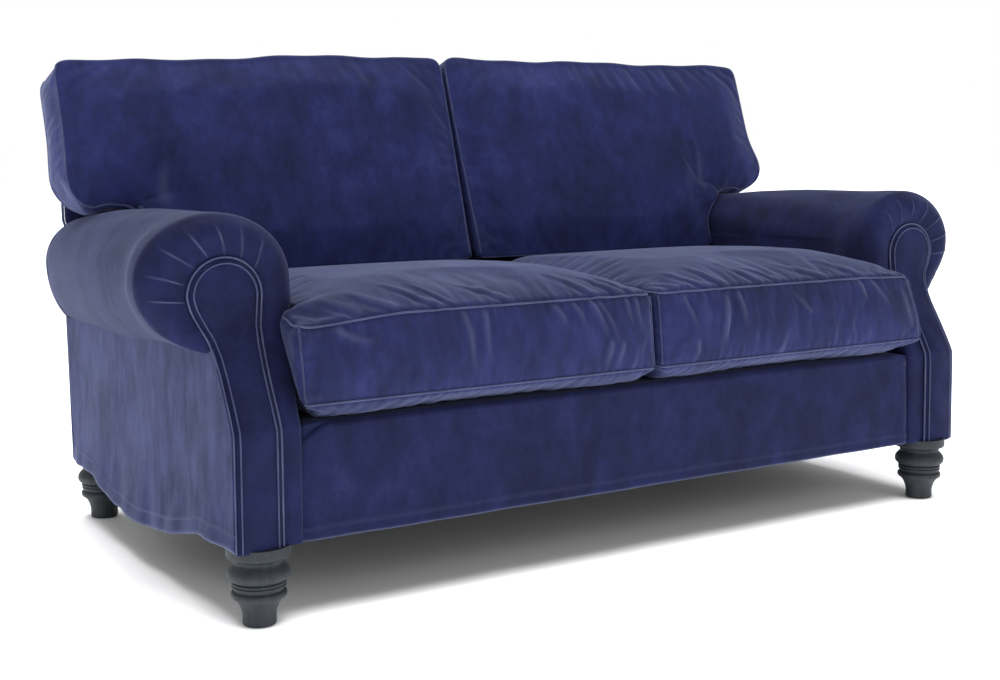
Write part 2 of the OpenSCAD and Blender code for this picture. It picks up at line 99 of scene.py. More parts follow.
# %% [markdown]
# ## Studio
# The room is white and lit by large soft panels. Velvet needs light that skims it: the
# pile only glows where it is seen along its tips, so the strongest panel hangs over the
# seat, a weak one stands beside the left arm and the front stays dim. The room gives less
# light than it seems to, and a lamp that only reaches the floor washes the ground white
# round the sofa's shadow.

# %% Floor and light
def add_node(material, kind, inputs=None, **settings):
    """Adds a shader node. Each input takes a value, or is linked when it is given a socket."""
    node = material.node_tree.nodes.new("ShaderNode" + kind)
    for key, value in settings.items():
        setattr(node, key, value)
    fill_inputs(material, node, inputs or {})
    return node


def fill_inputs(material, node, inputs):
    for key, value in inputs.items():
        if isinstance(value, bpy.types.NodeSocket):
            material.node_tree.links.new(value, node.inputs[key])
        else:
            node.inputs[key].default_value = value


def new_material(name):
    """An empty material and its main shader."""
    material = bpy.data.materials.new(name)
    material.use_nodes = True
    return material, material.node_tree.nodes["Principled BSDF"]


def studio_white(name, colour, roughness):
    material, shader = new_material(name)
    grain = add_node(material, "TexNoise", {"Scale": 1.5})
    worn = (*[c * 0.985 for c in colour], 1)
    tint = add_node(material, "Mix", {0: grain.outputs["Fac"], 6: worn, 7: (*colour, 1)}, data_type="RGBA")
    fill_inputs(material, shader, {
        "Base Color": tint.outputs[2], "Roughness": roughness, "Specular IOR Level": 0.2,
    })
    return material


bpy.ops.mesh.primitive_plane_add(size=60, location=(0, 0, 0))
floor = bpy.context.object
floor.name = "studio_floor"
floor.data.materials.append(studio_white("floor_white", (0.93, 0.93, 0.94), 0.6))
floor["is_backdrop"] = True

world = bpy.data.worlds.new("studio_room")
bpy.context.scene.world = world
world.use_nodes = True
seen = add_node(world, "LightPath").outputs["Is Camera Ray"]
strength = add_node(world, "MapRange", {"Value": seen, "To Min": 0.60, "To Max": 1.0}).outputs["Result"]
fill_inputs(world, world.node_tree.nodes["Background"], {"Color": (1, 1, 1, 1), "Strength": strength})
bpy.context.scene.view_settings.view_transform = "Standard"


def light_panel(name, place, target, size, power):
    """A softbox: a large area light that looks at a point."""
    bpy.ops.object.light_add(type="AREA", location=place)
    lamp = bpy.context.object
    lamp.name = name
    lamp.data.shape = "RECTANGLE"
    lamp.data.size, lamp.data.size_y = size
    lamp.data.energy = power
    lamp.rotation_euler = (Vector(target) - Vector(place)).to_track_quat("-Z", "Y").to_euler()
    return lamp


light_panel("panel_over", (-0.3, 0.9, 2.9), (0, -0.2, 0.4), (3.2, 1.8), 66)
light_panel("panel_left", (-3.2, 0.6, 1.5), (-0.7, 0, 0.4), (1.8, 2.2), 7)
light_panel("panel_front", (0.8, -3.8, 2.0), (0, 0, 0.5), (2.4, 1.6), 27)
bpy.ops.object.light_add(type="SUN", location=(0, 0, 5))
sweep = bpy.context.object
sweep.name = "floor_wash"
sweep.data.energy = 4.6
sweep.data.angle = math.radians(38)
sweep.rotation_euler = (math.radians(12), 0, 0)
washed = bpy.data.collections.new("washed_floor")
washed.objects.link(floor)
sweep.light_linking.receiver_collection = washed

# %% [markdown]
# ## Velvet
# Velvet is a short standing pile. Seen straight on it is nearly black-blue, because light
# dies between the hairs. Seen along its surface it turns pale and lilac. Stroking lays the
# pile over in cloudy patches. The shader's sheen gives part of the glow; the rest is painted
# sheen, a pale lilac that Layer Weight mixes into the base colour at grazing angles. Two noises
# give the brushed patches, and an attribute painted on each piece's points lightens creases,
# pleats, hems and piping, which is painted highlight.

# %% Velvet material
def colour_stops(ramp, stops):
    """Fills a colour ramp from (position, colour) pairs."""
    elements = ramp.color_ramp.elements
    while len(elements) > 1:
        elements.remove(elements[-1])
    elements[0].position, elements[0].color = stops[0][0], (*stops[0][1], 1)
    for position, colour in stops[1:]:
        element = elements.new(position)
        element.color = (*colour, 1)


def velvet(name, strokes, centre=(0, 0, 0), lift=0.0, glow=0.5, deep=1.0, sheen=0.3, patch=1.5):
    """Velvet with brush strokes stretched by three scales. lift, glow and patch set the painted sheen
    mixed in at grazing angles; deep scales the colour seen straight on, so that each copy has light or
    shade painted in.
    """
    material, shader = new_material(name)
    place = add_node(material, "TexCoord").outputs["Object"]
    stretch = add_node(material, "Mapping", {"Vector": place, "Location": centre, "Scale": strokes})
    brush = add_node(material, "TexNoise", {
        "Vector": stretch.outputs["Vector"], "Scale": 1.0, "Detail": 9.0, "Roughness": 0.74,
    }).outputs["Fac"]
    cloud = add_node(material, "TexNoise", {
        "Vector": place, "Scale": 7.0, "Detail": 6.0, "Distortion": 0.4,
    }).outputs["Fac"]
    pile = add_node(material, "TexNoise", {"Vector": place, "Scale": 900.0, "Detail": 2.0}).outputs["Fac"]

    clouds = add_node(material, "Math", {0: cloud, 1: 0.36}, operation="MULTIPLY").outputs[0]
    lay = add_node(material, "Math", {0: brush, 1: 0.64, 2: clouds}, operation="MULTIPLY_ADD").outputs[0]
    tone = add_node(material, "ValToRGB", {"Fac": lay})
    stops = (
        (0.34, (0.0080, 0.0112, 0.040)), (0.46, (0.0112, 0.0150, 0.062)),
        (0.55, (0.0145, 0.0188, 0.084)), (0.70, (0.0250, 0.0310, 0.122)),
    )
    colour_stops(tone, [(at, [deep * c for c in colour]) for at, colour in stops])

    # Painted sheen: at grazing angles a pale lilac is mixed into the base colour, patchy where the brush
    # strokes lie.
    facing = add_node(material, "LayerWeight", {"Blend": 0.42}).outputs["Facing"]
    skim = add_node(material, "MapRange", {
        "Value": facing, "From Min": 0.35, "From Max": 1.0, "To Min": lift, "To Max": glow,
    }).outputs["Result"]
    patchy = add_node(material, "Math", {0: lay, 1: patch, 2: 1 - 0.5 * patch}, operation="MULTIPLY_ADD")
    painted_sheen_amount = add_node(material, "Math", {0: skim, 1: patchy.outputs[0]}, operation="MULTIPLY").outputs[0]
    pale = add_node(material, "Mix", {
        0: painted_sheen_amount, 6: tone.outputs["Color"], 7: (0.086, 0.103, 0.190, 1),
    }, data_type="RGBA").outputs[2]
    # A float attribute on the points mixes in a pale blue: painted highlight along creases, pleats, hems
    # and piping.
    painted_highlight = add_node(material, "Attribute", attribute_name="painted_highlight").outputs["Fac"]
    edge = add_node(material, "Mix", {0: painted_highlight, 6: pale, 7: (0.160, 0.180, 0.300, 1)}, data_type="RGBA")

    rough = add_node(material, "MapRange", {"Value": brush, "To Min": 0.95, "To Max": 0.72})
    tips = add_node(material, "Bump", {"Strength": 0.25, "Distance": 0.0007, "Height": pile})
    sweep = add_node(material, "Bump", {
        "Strength": 0.35, "Distance": 0.003, "Height": brush, "Normal": tips.outputs["Normal"],
    })
    fill_inputs(material, shader, {
        "Base Color": edge.outputs[2], "Roughness": rough.outputs["Result"],
        "Normal": sweep.outputs["Normal"], "Specular IOR Level": 0.15,
        "Sheen Weight": sheen, "Sheen Roughness": 0.38, "Sheen Tint": (0.42, 0.47, 0.72, 1),
    })
    return material


# These five are one velvet in copies that paint light and shade per part: the plain copy is darker, for
# the arms, facings, border and deck; the back copy is lighter; the upright, seat and cord copies carry
# more painted sheen and shader sheen.
velvet_plain = velvet("velvet_nap", (20, 20, 14), (3, 1, 2), glow=0.22, deep=0.70, sheen=0.16)
velvet_upright = velvet("velvet_brushed_upright", (34, 34, 13), (1, 5, 2), lift=0.06, glow=0.50,
                        sheen=0.20, patch=5.0)
velvet_seat = velvet("velvet_seat", (30, 12, 14), (7, 2, 4), lift=0.02, glow=0.60, sheen=0.32, patch=2.5)
velvet_back = velvet("velvet_back", (20, 20, 12), (2, 8, 5), lift=0.0, glow=0.44, deep=1.25, sheen=0.28)
velvet_cord = velvet("velvet_cord", (120, 120, 120), (5, 5, 5), lift=0.08, glow=0.5)
print("velvets", [m.name for m in bpy.data.materials if m.name.startswith("velvet")])

# %% [markdown]
# ## Wood, steel and plain cloths
# The legs are turned from a hardwood and stained slate grey, so their grain only shows
# as faint streaks up the leg. Inside there are pale rails, springs, webbing and wadding.

# %% Other materials
def streaked(name, dark, light, stretch, roughness, metal=0.0, fine=None):
    """A two-tone finish with streaks or fibres, for wood, metal, webbing and felt."""
    material, shader = new_material(name)
    place = add_node(material, "TexCoord").outputs["Object"]
    mapping = add_node(material, "Mapping", {"Vector": place, "Scale": stretch})
    grain = add_node(material, "TexNoise", {
        "Vector": mapping.outputs["Vector"], "Scale": 1.0, "Detail": 6.0, "Distortion": 0.8,
    }).outputs["Fac"]
    ramp = add_node(material, "ValToRGB", {"Fac": grain})
    colour_stops(ramp, [(0.3, dark), (0.7, light)])
    worn = add_node(material, "MapRange", {
        "Value": grain, "To Min": roughness - 0.08, "To Max": roughness + 0.08,
    })
    height = grain
    if fine:
        weave = add_node(material, "TexNoise", {"Vector": place, "Scale": fine, "Detail": 3.0})
        height = weave.outputs["Fac"]
    relief = add_node(material, "Bump", {"Strength": 0.2, "Distance": 0.001, "Height": height})
    fill_inputs(material, shader, {
        "Base Color": ramp.outputs["Color"], "Roughness": worn.outputs["Result"],
        "Normal": relief.outputs["Normal"], "Metallic": metal, "Specular IOR Level": 0.35,
    })
    return material


slate_stain = streaked(
    "slate_stained_wood", (0.009, 0.013, 0.017), (0.023, 0.030, 0.038), (90, 90, 7), 0.55)
FINISHES = (
    ("frame_wood", "pale_rail_wood", (0.42, 0.27, 0.14), (0.62, 0.44, 0.26), (6, 60, 60), 0.6),
    ("wadding", "wadding_felt", (0.72, 0.70, 0.64), (0.86, 0.84, 0.79), (30, 30, 30), 0.92, 0.0, 500),
    ("spring_steel", "spring_steel", (0.22, 0.23, 0.24), (0.42, 0.43, 0.44), (40, 40, 40), 0.4, 1.0),
    ("fixing_steel", "fixing_steel", (0.45, 0.44, 0.40), (0.66, 0.64, 0.58), (60, 60, 60), 0.35, 1.0),
    ("webbing", "jute_webbing", (0.20, 0.11, 0.05), (0.42, 0.27, 0.14), (220, 220, 12), 0.85),
    ("bottom_cloth", "black_bottom_cloth", (0.010, 0.010, 0.011), (0.028, 0.028, 0.030),
     (90, 90, 90), 0.9, 0.0, 700),
    ("zip", "navy_zip", (0.008, 0.009, 0.030), (0.020, 0.022, 0.062), (400, 30, 30), 0.5),
    ("glide", "black_glide", (0.010, 0.010, 0.010), (0.030, 0.030, 0.032), (50, 50, 50), 0.45),
)
finishes = {slot: streaked(*look) for slot, *look in FINISHES}
slot_of = {s["node"]: s["material_slot"] for s in frame["record"]["subparts"]}
for name, node in frame["nodes"].items():
    finish = finishes.get(slot_of.get(name))
    if finish:
        node.data.materials.clear()
        node.data.materials.append(finish)
print("finished CAD nodes", sum(slot_of.get(n) in finishes for n in frame["nodes"]))

# %% [markdown]
# ## Helpers for cloth
# A cover starts as flat cloth: a grid, laid point by point over the shape below it. The
# cut edges then get a thickness. A cord is a curve with a round bevel, made a mesh.

# %% Helpers
FLIP = np.array((-1, 1, 1))


def points(piece):
    """The piece's points as rows of x, y, z."""
    flat = np.empty(len(piece.data.vertices) * 3)
    piece.data.vertices.foreach_get("co", flat)
    return flat.reshape(-1, 3)


def set_points(piece, rows):
    piece.data.vertices.foreach_set("co", np.asarray(rows, float).ravel())
    piece.data.update()


def normals(piece):
    flat = np.empty(len(piece.data.vertices) * 3)
    piece.data.vertices.foreach_get("normal", flat)
    return flat.reshape(-1, 3)


def only(piece):
    """Selects this piece and nothing else."""
    bpy.ops.object.select_all(action="DESELECT")
    piece.select_set(True)
    bpy.context.view_layer.objects.active = piece
    return piece


def finish_with(piece, kind, **settings):
    """Adds one modifier and applies it."""
    only(piece)
    bpy.ops.object.modifier_add(type=kind)
    modifier = piece.modifiers[-1]
    for key, value in settings.items():
        setattr(modifier, key, value)
    bpy.ops.object.modifier_apply(modifier=modifier.name)


def edit_all(piece, operator, **settings):
    """Runs one mesh operator on the whole piece."""
    only(piece)
    bpy.ops.object.mode_set(mode="EDIT")
    bpy.ops.mesh.select_all(action="SELECT")
    operator(**settings)
    bpy.ops.object.mode_set(mode="OBJECT")


def face_away(piece, inside):
    """Turns the faces so that they point away from a point inside."""
    away = points(piece) - np.array(inside)
    if (normals(piece) * away).sum() < 0:
        edit_all(piece, bpy.ops.mesh.flip_normals)


def set_painted_highlight(piece, values):
    """Writes the painted highlight at each point, 0 to 1: how much the base colour is lightened there."""
    old = piece.data.attributes.get("painted_highlight")
    attribute = old or piece.data.attributes.new("painted_highlight", "FLOAT", "POINT")
    attribute.data.foreach_set("value", np.clip(values, 0, 1).astype(np.float32))


def smooth(low, high, value):
    """A soft step from 0 at low to 1 at high."""
    t = np.clip((np.asarray(value, float) - low) / (high - low), 0, 1)
    return t * t * (3 - 2 * t)


def cloth_sheet(name, columns, rows, lay, inside, thick=0.0025, painted_highlight=None):
    """Lays a flat grid of cloth where lay(u, v) says, paints its highlight where given, welds its poles
    and gives it a thickness.
    """
    bpy.ops.object.select_all(action="DESELECT")
    bpy.ops.mesh.primitive_grid_add(x_subdivisions=columns, y_subdivisions=rows, size=1)
    piece = bpy.context.object
    piece.name = piece.data.name = name
    flat = points(piece) + 0.5
    u, v = np.clip(flat[:, 0], 0, 1), np.clip(flat[:, 1], 0, 1)
    set_points(piece, lay(u, v))
    if painted_highlight:
        set_painted_highlight(piece, painted_highlight(u, v))
    edit_all(piece, bpy.ops.mesh.remove_doubles, threshold=0.0001)
    face_away(piece, inside)
    finish_with(piece, "SOLIDIFY", thickness=thick, offset=-1)
    only(piece)
    bpy.ops.object.shade_smooth()
    return piece


def tube(name, path, radius, closed=False, pale=0.35):
    """A piping cord along a path, as a mesh, with a painted highlight along it."""
    curve = bpy.data.curves.new(name, "CURVE")
    curve.dimensions = "3D"
    curve.bevel_depth = radius
    curve.bevel_resolution = 2
    curve.use_fill_caps = not closed
    spline = curve.splines.new("POLY")
    spline.points.add(len(path) - 1)
    spline.points.foreach_set("co", np.c_[path, np.ones(len(path))].ravel())
    spline.use_cyclic_u = closed
    piece = bpy.data.objects.new(name, curve)
    bpy.context.scene.collection.objects.link(piece)
    only(piece)
    bpy.ops.object.convert(target="MESH")
    piece = bpy.context.object
    piece.name = piece.data.name = name
    bpy.ops.object.shade_smooth()
    # The painted highlight varies a little along the cord.
    wave = 0.5 + 0.5 * np.sin(points(piece) @ np.array((61.0, 47.0, 83.0)))
    set_painted_highlight(piece, pale * (0.7 + 0.3 * wave))
    return piece


def mirrored(piece, name):
    """A copy with its own mesh on the other side of the sofa."""
    only(piece)
    bpy.ops.object.duplicate()
    copy = bpy.context.object
    copy.name = copy.data.name = name
    set_points(copy, points(copy) * FLIP)
    edit_all(copy, bpy.ops.mesh.flip_normals)
    return copy


def pair(piece):
    """The right-hand piece and its mirror copy, each with the name of its side."""
    return (piece, "right"), (mirrored(piece, piece.name.replace("right", "left")), "left")


def dress(piece, material, body, nodes=()):
    """Gives a finished piece its cloth, its body and the CAD nodes it stands for."""
    piece.data.materials.clear()
    piece.data.materials.append(material)
    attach(piece, body)
    if nodes:
        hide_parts(*nodes)
    print(piece.name, len(piece.data.polygons), "faces on", body)


# %% [markdown]
# ## Turned legs
# On a lathe a leg is one outline turned about its axis: foot, taper, ring, two beads, a
# fat bulb, a neck and a collar. Here a disc is extruded upwards and resized at each step,
# which is the same outline from the foot up. One leg is modelled and copied three times.

# %% Legs
LEG = [
    (0.0245, 0.0010), (0.0268, 0.0022), (0.0272, 0.0055), (0.0270, 0.0150), (0.0276, 0.0210),
    (0.0292, 0.0270), (0.0322, 0.0345), (0.0360, 0.0400), (0.0398, 0.0436), (0.0405, 0.0448),
    (0.0430, 0.0456), (0.0445, 0.0480), (0.0449, 0.0510), (0.0443, 0.0540), (0.0425, 0.0562),
    (0.0402, 0.0572), (0.0398, 0.0590), (0.0404, 0.0606), (0.0428, 0.0616), (0.0436, 0.0634),
    (0.0432, 0.0652), (0.0416, 0.0662), (0.0432, 0.0672), (0.0438, 0.0690), (0.0432, 0.0708),
    (0.0414, 0.0720), (0.0424, 0.0730), (0.0466, 0.0752), (0.0497, 0.0788), (0.0510, 0.0832),
    (0.0507, 0.0876), (0.0488, 0.0922), (0.0452, 0.0966), (0.0418, 0.1000), (0.0404, 0.1030),
    (0.0406, 0.1058), (0.0426, 0.1084), (0.0466, 0.1104), (0.0504, 0.1118), (0.0520, 0.1140),
    (0.0522, 0.1180), (0.0518, 0.1298),
]
foot_r, foot_z = LEG[0]
bpy.ops.object.select_all(action="DESELECT")
bpy.ops.mesh.primitive_circle_add(vertices=56, radius=foot_r, location=(0, 0, foot_z), fill_type="NGON")
first_leg = bpy.context.object
only(first_leg)
bpy.ops.object.transform_apply(location=True, rotation=True, scale=True)
bpy.ops.object.mode_set(mode="EDIT")
bpy.ops.mesh.select_all(action="SELECT")
for (r0, z0), (r1, z1) in zip(LEG, LEG[1:]):
    bpy.ops.mesh.extrude_region_move(TRANSFORM_OT_translate={"value": (0, 0, z1 - z0)})
    bpy.ops.transform.resize(value=(r1 / r0, r1 / r0, 1), center_override=(0, 0, z1))
bpy.ops.mesh.select_all(action="SELECT")
bpy.ops.mesh.normals_make_consistent(inside=False)
bpy.ops.object.mode_set(mode="OBJECT")
bpy.ops.object.shade_smooth_by_angle(angle=math.radians(40))

for number, node in enumerate(("leg_front_left", "leg_front_right", "leg_rear_left", "leg_rear_right")):
    low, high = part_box(node)
    only(first_leg)
    bpy.ops.object.duplicate()
    leg = bpy.context.object
    leg.name = leg.data.name = "turned_" + node
    leg.location = ((low.x + high.x) / 2, (low.y + high.y) / 2, 0)
    bpy.ops.object.transform_apply(location=True, rotation=True, scale=True)
    dress(leg, slate_stain, "frame", (node,))
bpy.data.objects.remove(first_leg)

# %% [markdown]
# ## The arm's shape
# The scroll arm is a round roll on a flat wall. The roll tapers and sinks a little towards
# the back. In front the wall stands upright and then slopes back to the scroll. These
# functions give the roll's centre and radius at any depth and the front's depth at any
# height, and all the arm's covers are laid on them.

# %% Arm shape
ARM_IN, ARM_OUT = 0.693, 0.8140
ROLL_Y = (-0.351, -0.036, 0.131, 0.300, 0.400, 0.455)
ROLL_X = (0.7900, 0.7860, 0.7800, 0.7720, 0.7670, 0.7640)
ROLL_R = (0.1095, 0.1060, 0.1020, 0.0950, 0.0900, 0.0850)
ROLL_TOP = (0.6560, 0.6510, 0.6440, 0.6330, 0.6230, 0.6120)
HEAD_X, HEAD_Z, HEAD_R = 0.784, 0.522, 0.062
HEM_Z = 0.128
SAG_Y, SAG = (-0.372, -0.250, -0.100, 0.120, 0.455), (0.003, 0.010, 0.018, 0.032, 0.050)
FLARE, FLARE_IN = 0.025, 0.021
BACK_TOP_Z, REAR_TOP_Y = 0.812, 0.470


def roll(y):
    """Centre x, centre z and radius of the roll at depth y."""
    r = np.interp(y, ROLL_Y, ROLL_R)
    return np.interp(y, ROLL_Y, ROLL_X), np.interp(y, ROLL_Y, ROLL_TOP) - r, r


def front_y(z):
    """Depth of the arm's front at height z: upright, then sloping back, then upright."""
    slope = np.clip((np.asarray(z) - 0.318) / 0.157, 0, 1)
    soft = np.clip((np.asarray(z) - 0.290) / 0.215, 0, 1)
    return -0.445 + 0.094 * (0.6 * slope + 0.4 * soft * soft * (3 - 2 * soft))


def rear_y(z):
    """Depth of the outside back at height z."""
    return REAR_TOP_Y - (BACK_TOP_Z - np.asarray(z)) * math.tan(math.radians(3.6))


def facing_edges(z):
    """Inner and outer edge of the facing panel below the middle of its head."""
    inner = np.interp(z, (0.12, 0.37, 0.41, 0.45, 0.49, 0.522),
                      (0.733, 0.733, 0.7318, 0.7290, 0.7245, 0.722))
    outer = np.interp(z, (0.12, 0.40, 0.43, 0.455, 0.475, 0.50, 0.522),
                      (0.811, 0.811, 0.8128, 0.8180, 0.8270, 0.8400, 0.846))
    return inner, outer


def facing_outline(inset, count=420):
    """The facing's outline from its outer foot round the head to its inner foot, as x and z."""
    z = np.linspace(HEM_Z, HEAD_Z, 160)
    inner, outer = facing_edges(z)
    turn = np.linspace(0, math.pi, 120)[1:-1]
    x = np.r_[outer, HEAD_X + HEAD_R * np.cos(turn), inner[::-1]]
    z = np.r_[z, HEAD_Z + HEAD_R * np.sin(turn), z[::-1]]
    for _ in range(6):
        x[1:-1] = (x[:-2] + 2 * x[1:-1] + x[2:]) / 4
        z[1:-1] = (z[:-2] + 2 * z[1:-1] + z[2:]) / 4
    along = np.r_[0, np.cumsum(np.hypot(np.diff(x), np.diff(z)))]
    even = np.linspace(0, along[-1], count)
    x, z = np.interp(even, along, x), np.interp(even, along, z)
    dx, dz = np.gradient(x), np.gradient(z)
    length = np.hypot(dx, dz)
    return x - inset * dz / length, z + inset * dx / length, even


outline_x, outline_z, outline_s = facing_outline(0.002)
print("facing outline", round(float(outline_s[-1]), 3), "m long")

# %% [markdown]
# ## Arm covers with a pleated scroll front
# One cloth covers the roll and the inside wall. In front it is eased round the scroll's
# end and tucked under the facing panel. Round the head there is more cloth than room, so
# the upholsterer lays it in narrow pleats that all point at the panel. In the grid, u goes
# round the arm and v goes from the panel's edge, over the rounded end, to the back.

# %% Arm covers
ROLL_SHARE, BAND = 0.66, 0.36
SCROLL_Y = -0.32
LOW_WALL_Z, LOW_WALL_Y = (0.300, 0.318), -0.424
PLEATS = (-12, 12, 37, 60, 84, 107, 131)


def fullness(y):
    """How much of the scroll's padding swells the arm at depth y."""
    return np.exp(-((y + 0.33) / 0.085) ** 2)


def inner_wall(y, z):
    """The x of the inside wall below the middle of the roll."""
    cx, _, r = roll(y)
    wall = cx - r + (ARM_IN - cx + r) * smooth(0.46, 0.325, z)
    return wall - FLARE_IN * fullness(y) * smooth(0.440, 0.510, z)


def arm_section(u, y):
    """A point on the arm's outline at depth y: round the roll, then down the inside wall."""
    cx, cz, r = roll(y)
    start = -np.arccos(np.clip((ARM_OUT - cx) / r, -1, 1))
    angle = start + (math.pi - start) * np.clip(u / ROLL_SHARE, 0, 1)
    x, z = cx + r * np.cos(angle), cz + r * np.sin(angle)
    side = np.cos(angle)
    x = x + fullness(y) * side * np.where(side > 0, FLARE, FLARE_IN)
    z = z + np.interp(y, SAG_Y, SAG) * np.clip(np.sin(angle), -1, 0)
    down = np.clip((u - ROLL_SHARE) / (1 - ROLL_SHARE), 0, 1)
    wall_z = cz + (HEM_Z - cz) * down
    wall_x = inner_wall(y, wall_z)
    on_wall = u > ROLL_SHARE
    return np.where(on_wall, wall_x, x), np.where(on_wall, wall_z, z), angle


def tucked_edge(u):
    """Where the cover goes under the facing panel, for each u."""
    first = np.interp(0.447, outline_z[:200], outline_s[:200])
    last = np.interp(-0.505, -outline_z[200:], outline_s[200:])
    s = np.where(u < ROLL_SHARE, first + (last - first) * u / ROLL_SHARE,
                 last + (outline_s[-1] - last) * (u - ROLL_SHARE) / (1 - ROLL_SHARE))
    return np.interp(s, outline_s, outline_x), np.interp(s, outline_s, outline_z)


def pleat_height(angle, w):
    """Height and painted highlight of the pleats at an angle round the scroll and a share w outwards."""
    height, pale = np.zeros_like(angle), np.zeros_like(angle)
    for number, degrees in enumerate(PLEATS):
        away = (np.degrees(angle) - degrees - 3 * math.sin(5 * number) * w) * 1.35
        fade = smooth(0.74 + 0.08 * math.sin(3 * number), 0.42, w) * smooth(0.0, 0.24, w)
        fold = np.exp(-np.clip(away, 0, None) / 5.5) * smooth(-1.1, 0.1, away)
        height += 0.0036 * fold * fade
        # A painted highlight on each pleat's edge.
        pale += 0.38 * np.exp(-(away / 0.8) ** 2) * fade
    return height, pale


def lay_arm(u, v):
    """The band over the scroll's front first, then the run to the back; a low wall stops early."""
    px, pz, angle = arm_section(u, SCROLL_Y)
    fx, fz = tucked_edge(u)
    gap = np.hypot(px - fx, pz - fz) + 1e-6
    on_roll = smooth(ROLL_SHARE + 0.12, ROLL_SHARE - 0.02, u)
    radius = np.minimum(0.012 + 0.030 * on_roll, 0.88 * gap)
    depth = 0.75 - 0.05 * on_roll
    w = np.clip(v / BAND, 0, 1)
    bend = np.clip((w - 0.4) / 0.6, 0, 1) * math.pi / 2
    reach = np.where(w < 0.4, (gap - radius) * w / 0.4, gap - radius * (1 - np.sin(bend)))
    x, z = fx + (px - fx) * reach / gap, fz + (pz - fz) * reach / gap
    deep = radius * (1 - np.cos(bend)) * depth
    puff = 0.006 * on_roll * np.sin(math.pi * np.clip(w / 0.75, 0, 1)) * np.clip(gap / 0.05, 0, 1)
    lift, _ = pleat_height(angle, w)
    lift = lift * (u < ROLL_SHARE) * np.clip(gap / 0.03, 0, 1)
    y = front_y(z) + deep - puff - lift * np.cos(bend)
    x, z = x + lift * np.sin(bend) * (px - fx) / gap, z + lift * np.sin(bend) * (pz - fz) / gap
    start = front_y(pz) + radius * depth
    back = np.interp(pz, LOW_WALL_Z, (0, 1)) * (rear_y(pz) - 0.003 - LOW_WALL_Y) + LOW_WALL_Y
    t = np.clip((v - BAND) / (1 - BAND), 0, 1)
    y_along = start + (back - start) * t
    qx, qz, q_angle = arm_section(u, y_along)
    sway = 0.0012 * np.sin(9 * q_angle + 13 * y_along) * smooth(0, 0.1, t) * (u < ROLL_SHARE)
    qx, qz = qx + sway * np.cos(q_angle), qz + sway * np.sin(q_angle)
    ease = smooth(0, 0.12, t)
    qx, qz = px + (qx - px) * ease, pz + (qz - pz) * ease
    on_band = v <= BAND
    return np.c_[np.where(on_band, x, qx), np.where(on_band, y, y_along), np.where(on_band, z, qz)]


# Painted highlight along the pleats' edges on the scroll front.
def painted_highlight_arm(u, v):
    _, _, angle = arm_section(u, SCROLL_Y)
    _, pale = pleat_height(angle, np.clip(v / BAND, 0, 1))
    return pale * (u < ROLL_SHARE) * (v < BAND)


arm_right = cloth_sheet("arm_cover_velvet_right", 300, 110, lay_arm, (0.76, -0.1, 0.40), painted_highlight=painted_highlight_arm)
for arm, side in pair(arm_right):
    dress(arm, velvet_plain, "frame", ("arm_cover_" + side, "arm_pad_" + side))

# %% [markdown]
# ## Outside arm panels
# The wall under the roll is a separate cloth that hangs from the roll to below the rail.
# Its lower edge is a loose double hem, so it dips and swings between the legs. The sheet
# is laid flat against the wall and its lower part is let out in shallow folds.

# %% Outside arm panels
HEM_Y = (-0.452, -0.430, -0.305, -0.168, -0.062, 0.020, 0.136, 0.199, 0.275, 0.353, 0.430)
PANEL_TOP_Y, PANEL_FOOT_Y = -0.372, -0.4505
HEM_DROP = (0.129, 0.132, 0.131, 0.101, 0.088, 0.084, 0.088, 0.100, 0.119, 0.121, 0.121)


def lay_panel(u, v):
    top_y = PANEL_TOP_Y + (rear_y(0.45) - 0.003 - PANEL_TOP_Y) * u
    cx, cz, r = roll(top_y)
    top = cz - np.sqrt(np.clip(r * r - (ARM_OUT - cx) ** 2, 0, None)) + 0.006
    top -= 0.97 * np.interp(top_y, SAG_Y, SAG)
    foot_y = PANEL_FOOT_Y + (rear_y(0.13) - 0.002 - PANEL_FOOT_Y) * u
    hem = np.interp(foot_y, HEM_Y, HEM_DROP)
    z = top + (hem - top) * v
    y = (front_y(z) - 0.0065) * (1 - u) + (rear_y(z) - 0.003) * u
    loose = smooth(0.22, 0.08, z) * smooth(0.0, 0.10, u) * smooth(1.0, 0.93, u)
    folds = np.sin(2 * math.pi * (y / 0.19 + 0.15)) + 0.5 * np.sin(2 * math.pi * (y / 0.083 + 0.4 + z))
    x = ARM_OUT + 0.0005 + 0.007 * loose + 0.0022 * loose * folds
    x += 0.0012 * np.sin(2 * math.pi * (y / 0.29 + z / 0.5)) * smooth(0, 0.3, v) * smooth(0, 0.06, u)
    x += 0.0016 * smooth(0.030, 0.024, z - hem) * smooth(0.0, 0.02, u)
    return np.c_[x, y, z]


# Painted highlight along the hem's lower edge and along the fold of the double hem above it.
def painted_highlight_panel(u, v):
    z = lay_panel(u, v)[:, 2] - np.interp(PANEL_FOOT_Y + 0.88 * u, HEM_Y, HEM_DROP)
    return 0.45 * smooth(0.006, 0.0, z) + 0.25 * np.exp(-((z - 0.026) / 0.002) ** 2)


panel_right = cloth_sheet("outside_arm_velvet_right", 170, 90, lay_panel, (0.5, 0, 0.3), painted_highlight=painted_highlight_panel)
for panel, side in pair(panel_right):
    dress(panel, velvet_upright, "frame", ("outside_arm_panel_" + side,))

# %% [markdown]
# ## Facing panels and double piping
# The facing is a padded board that hides where the arm's cloths end. Two thin cords run
# side by side round it: one at its edge and one a finger's width inside.

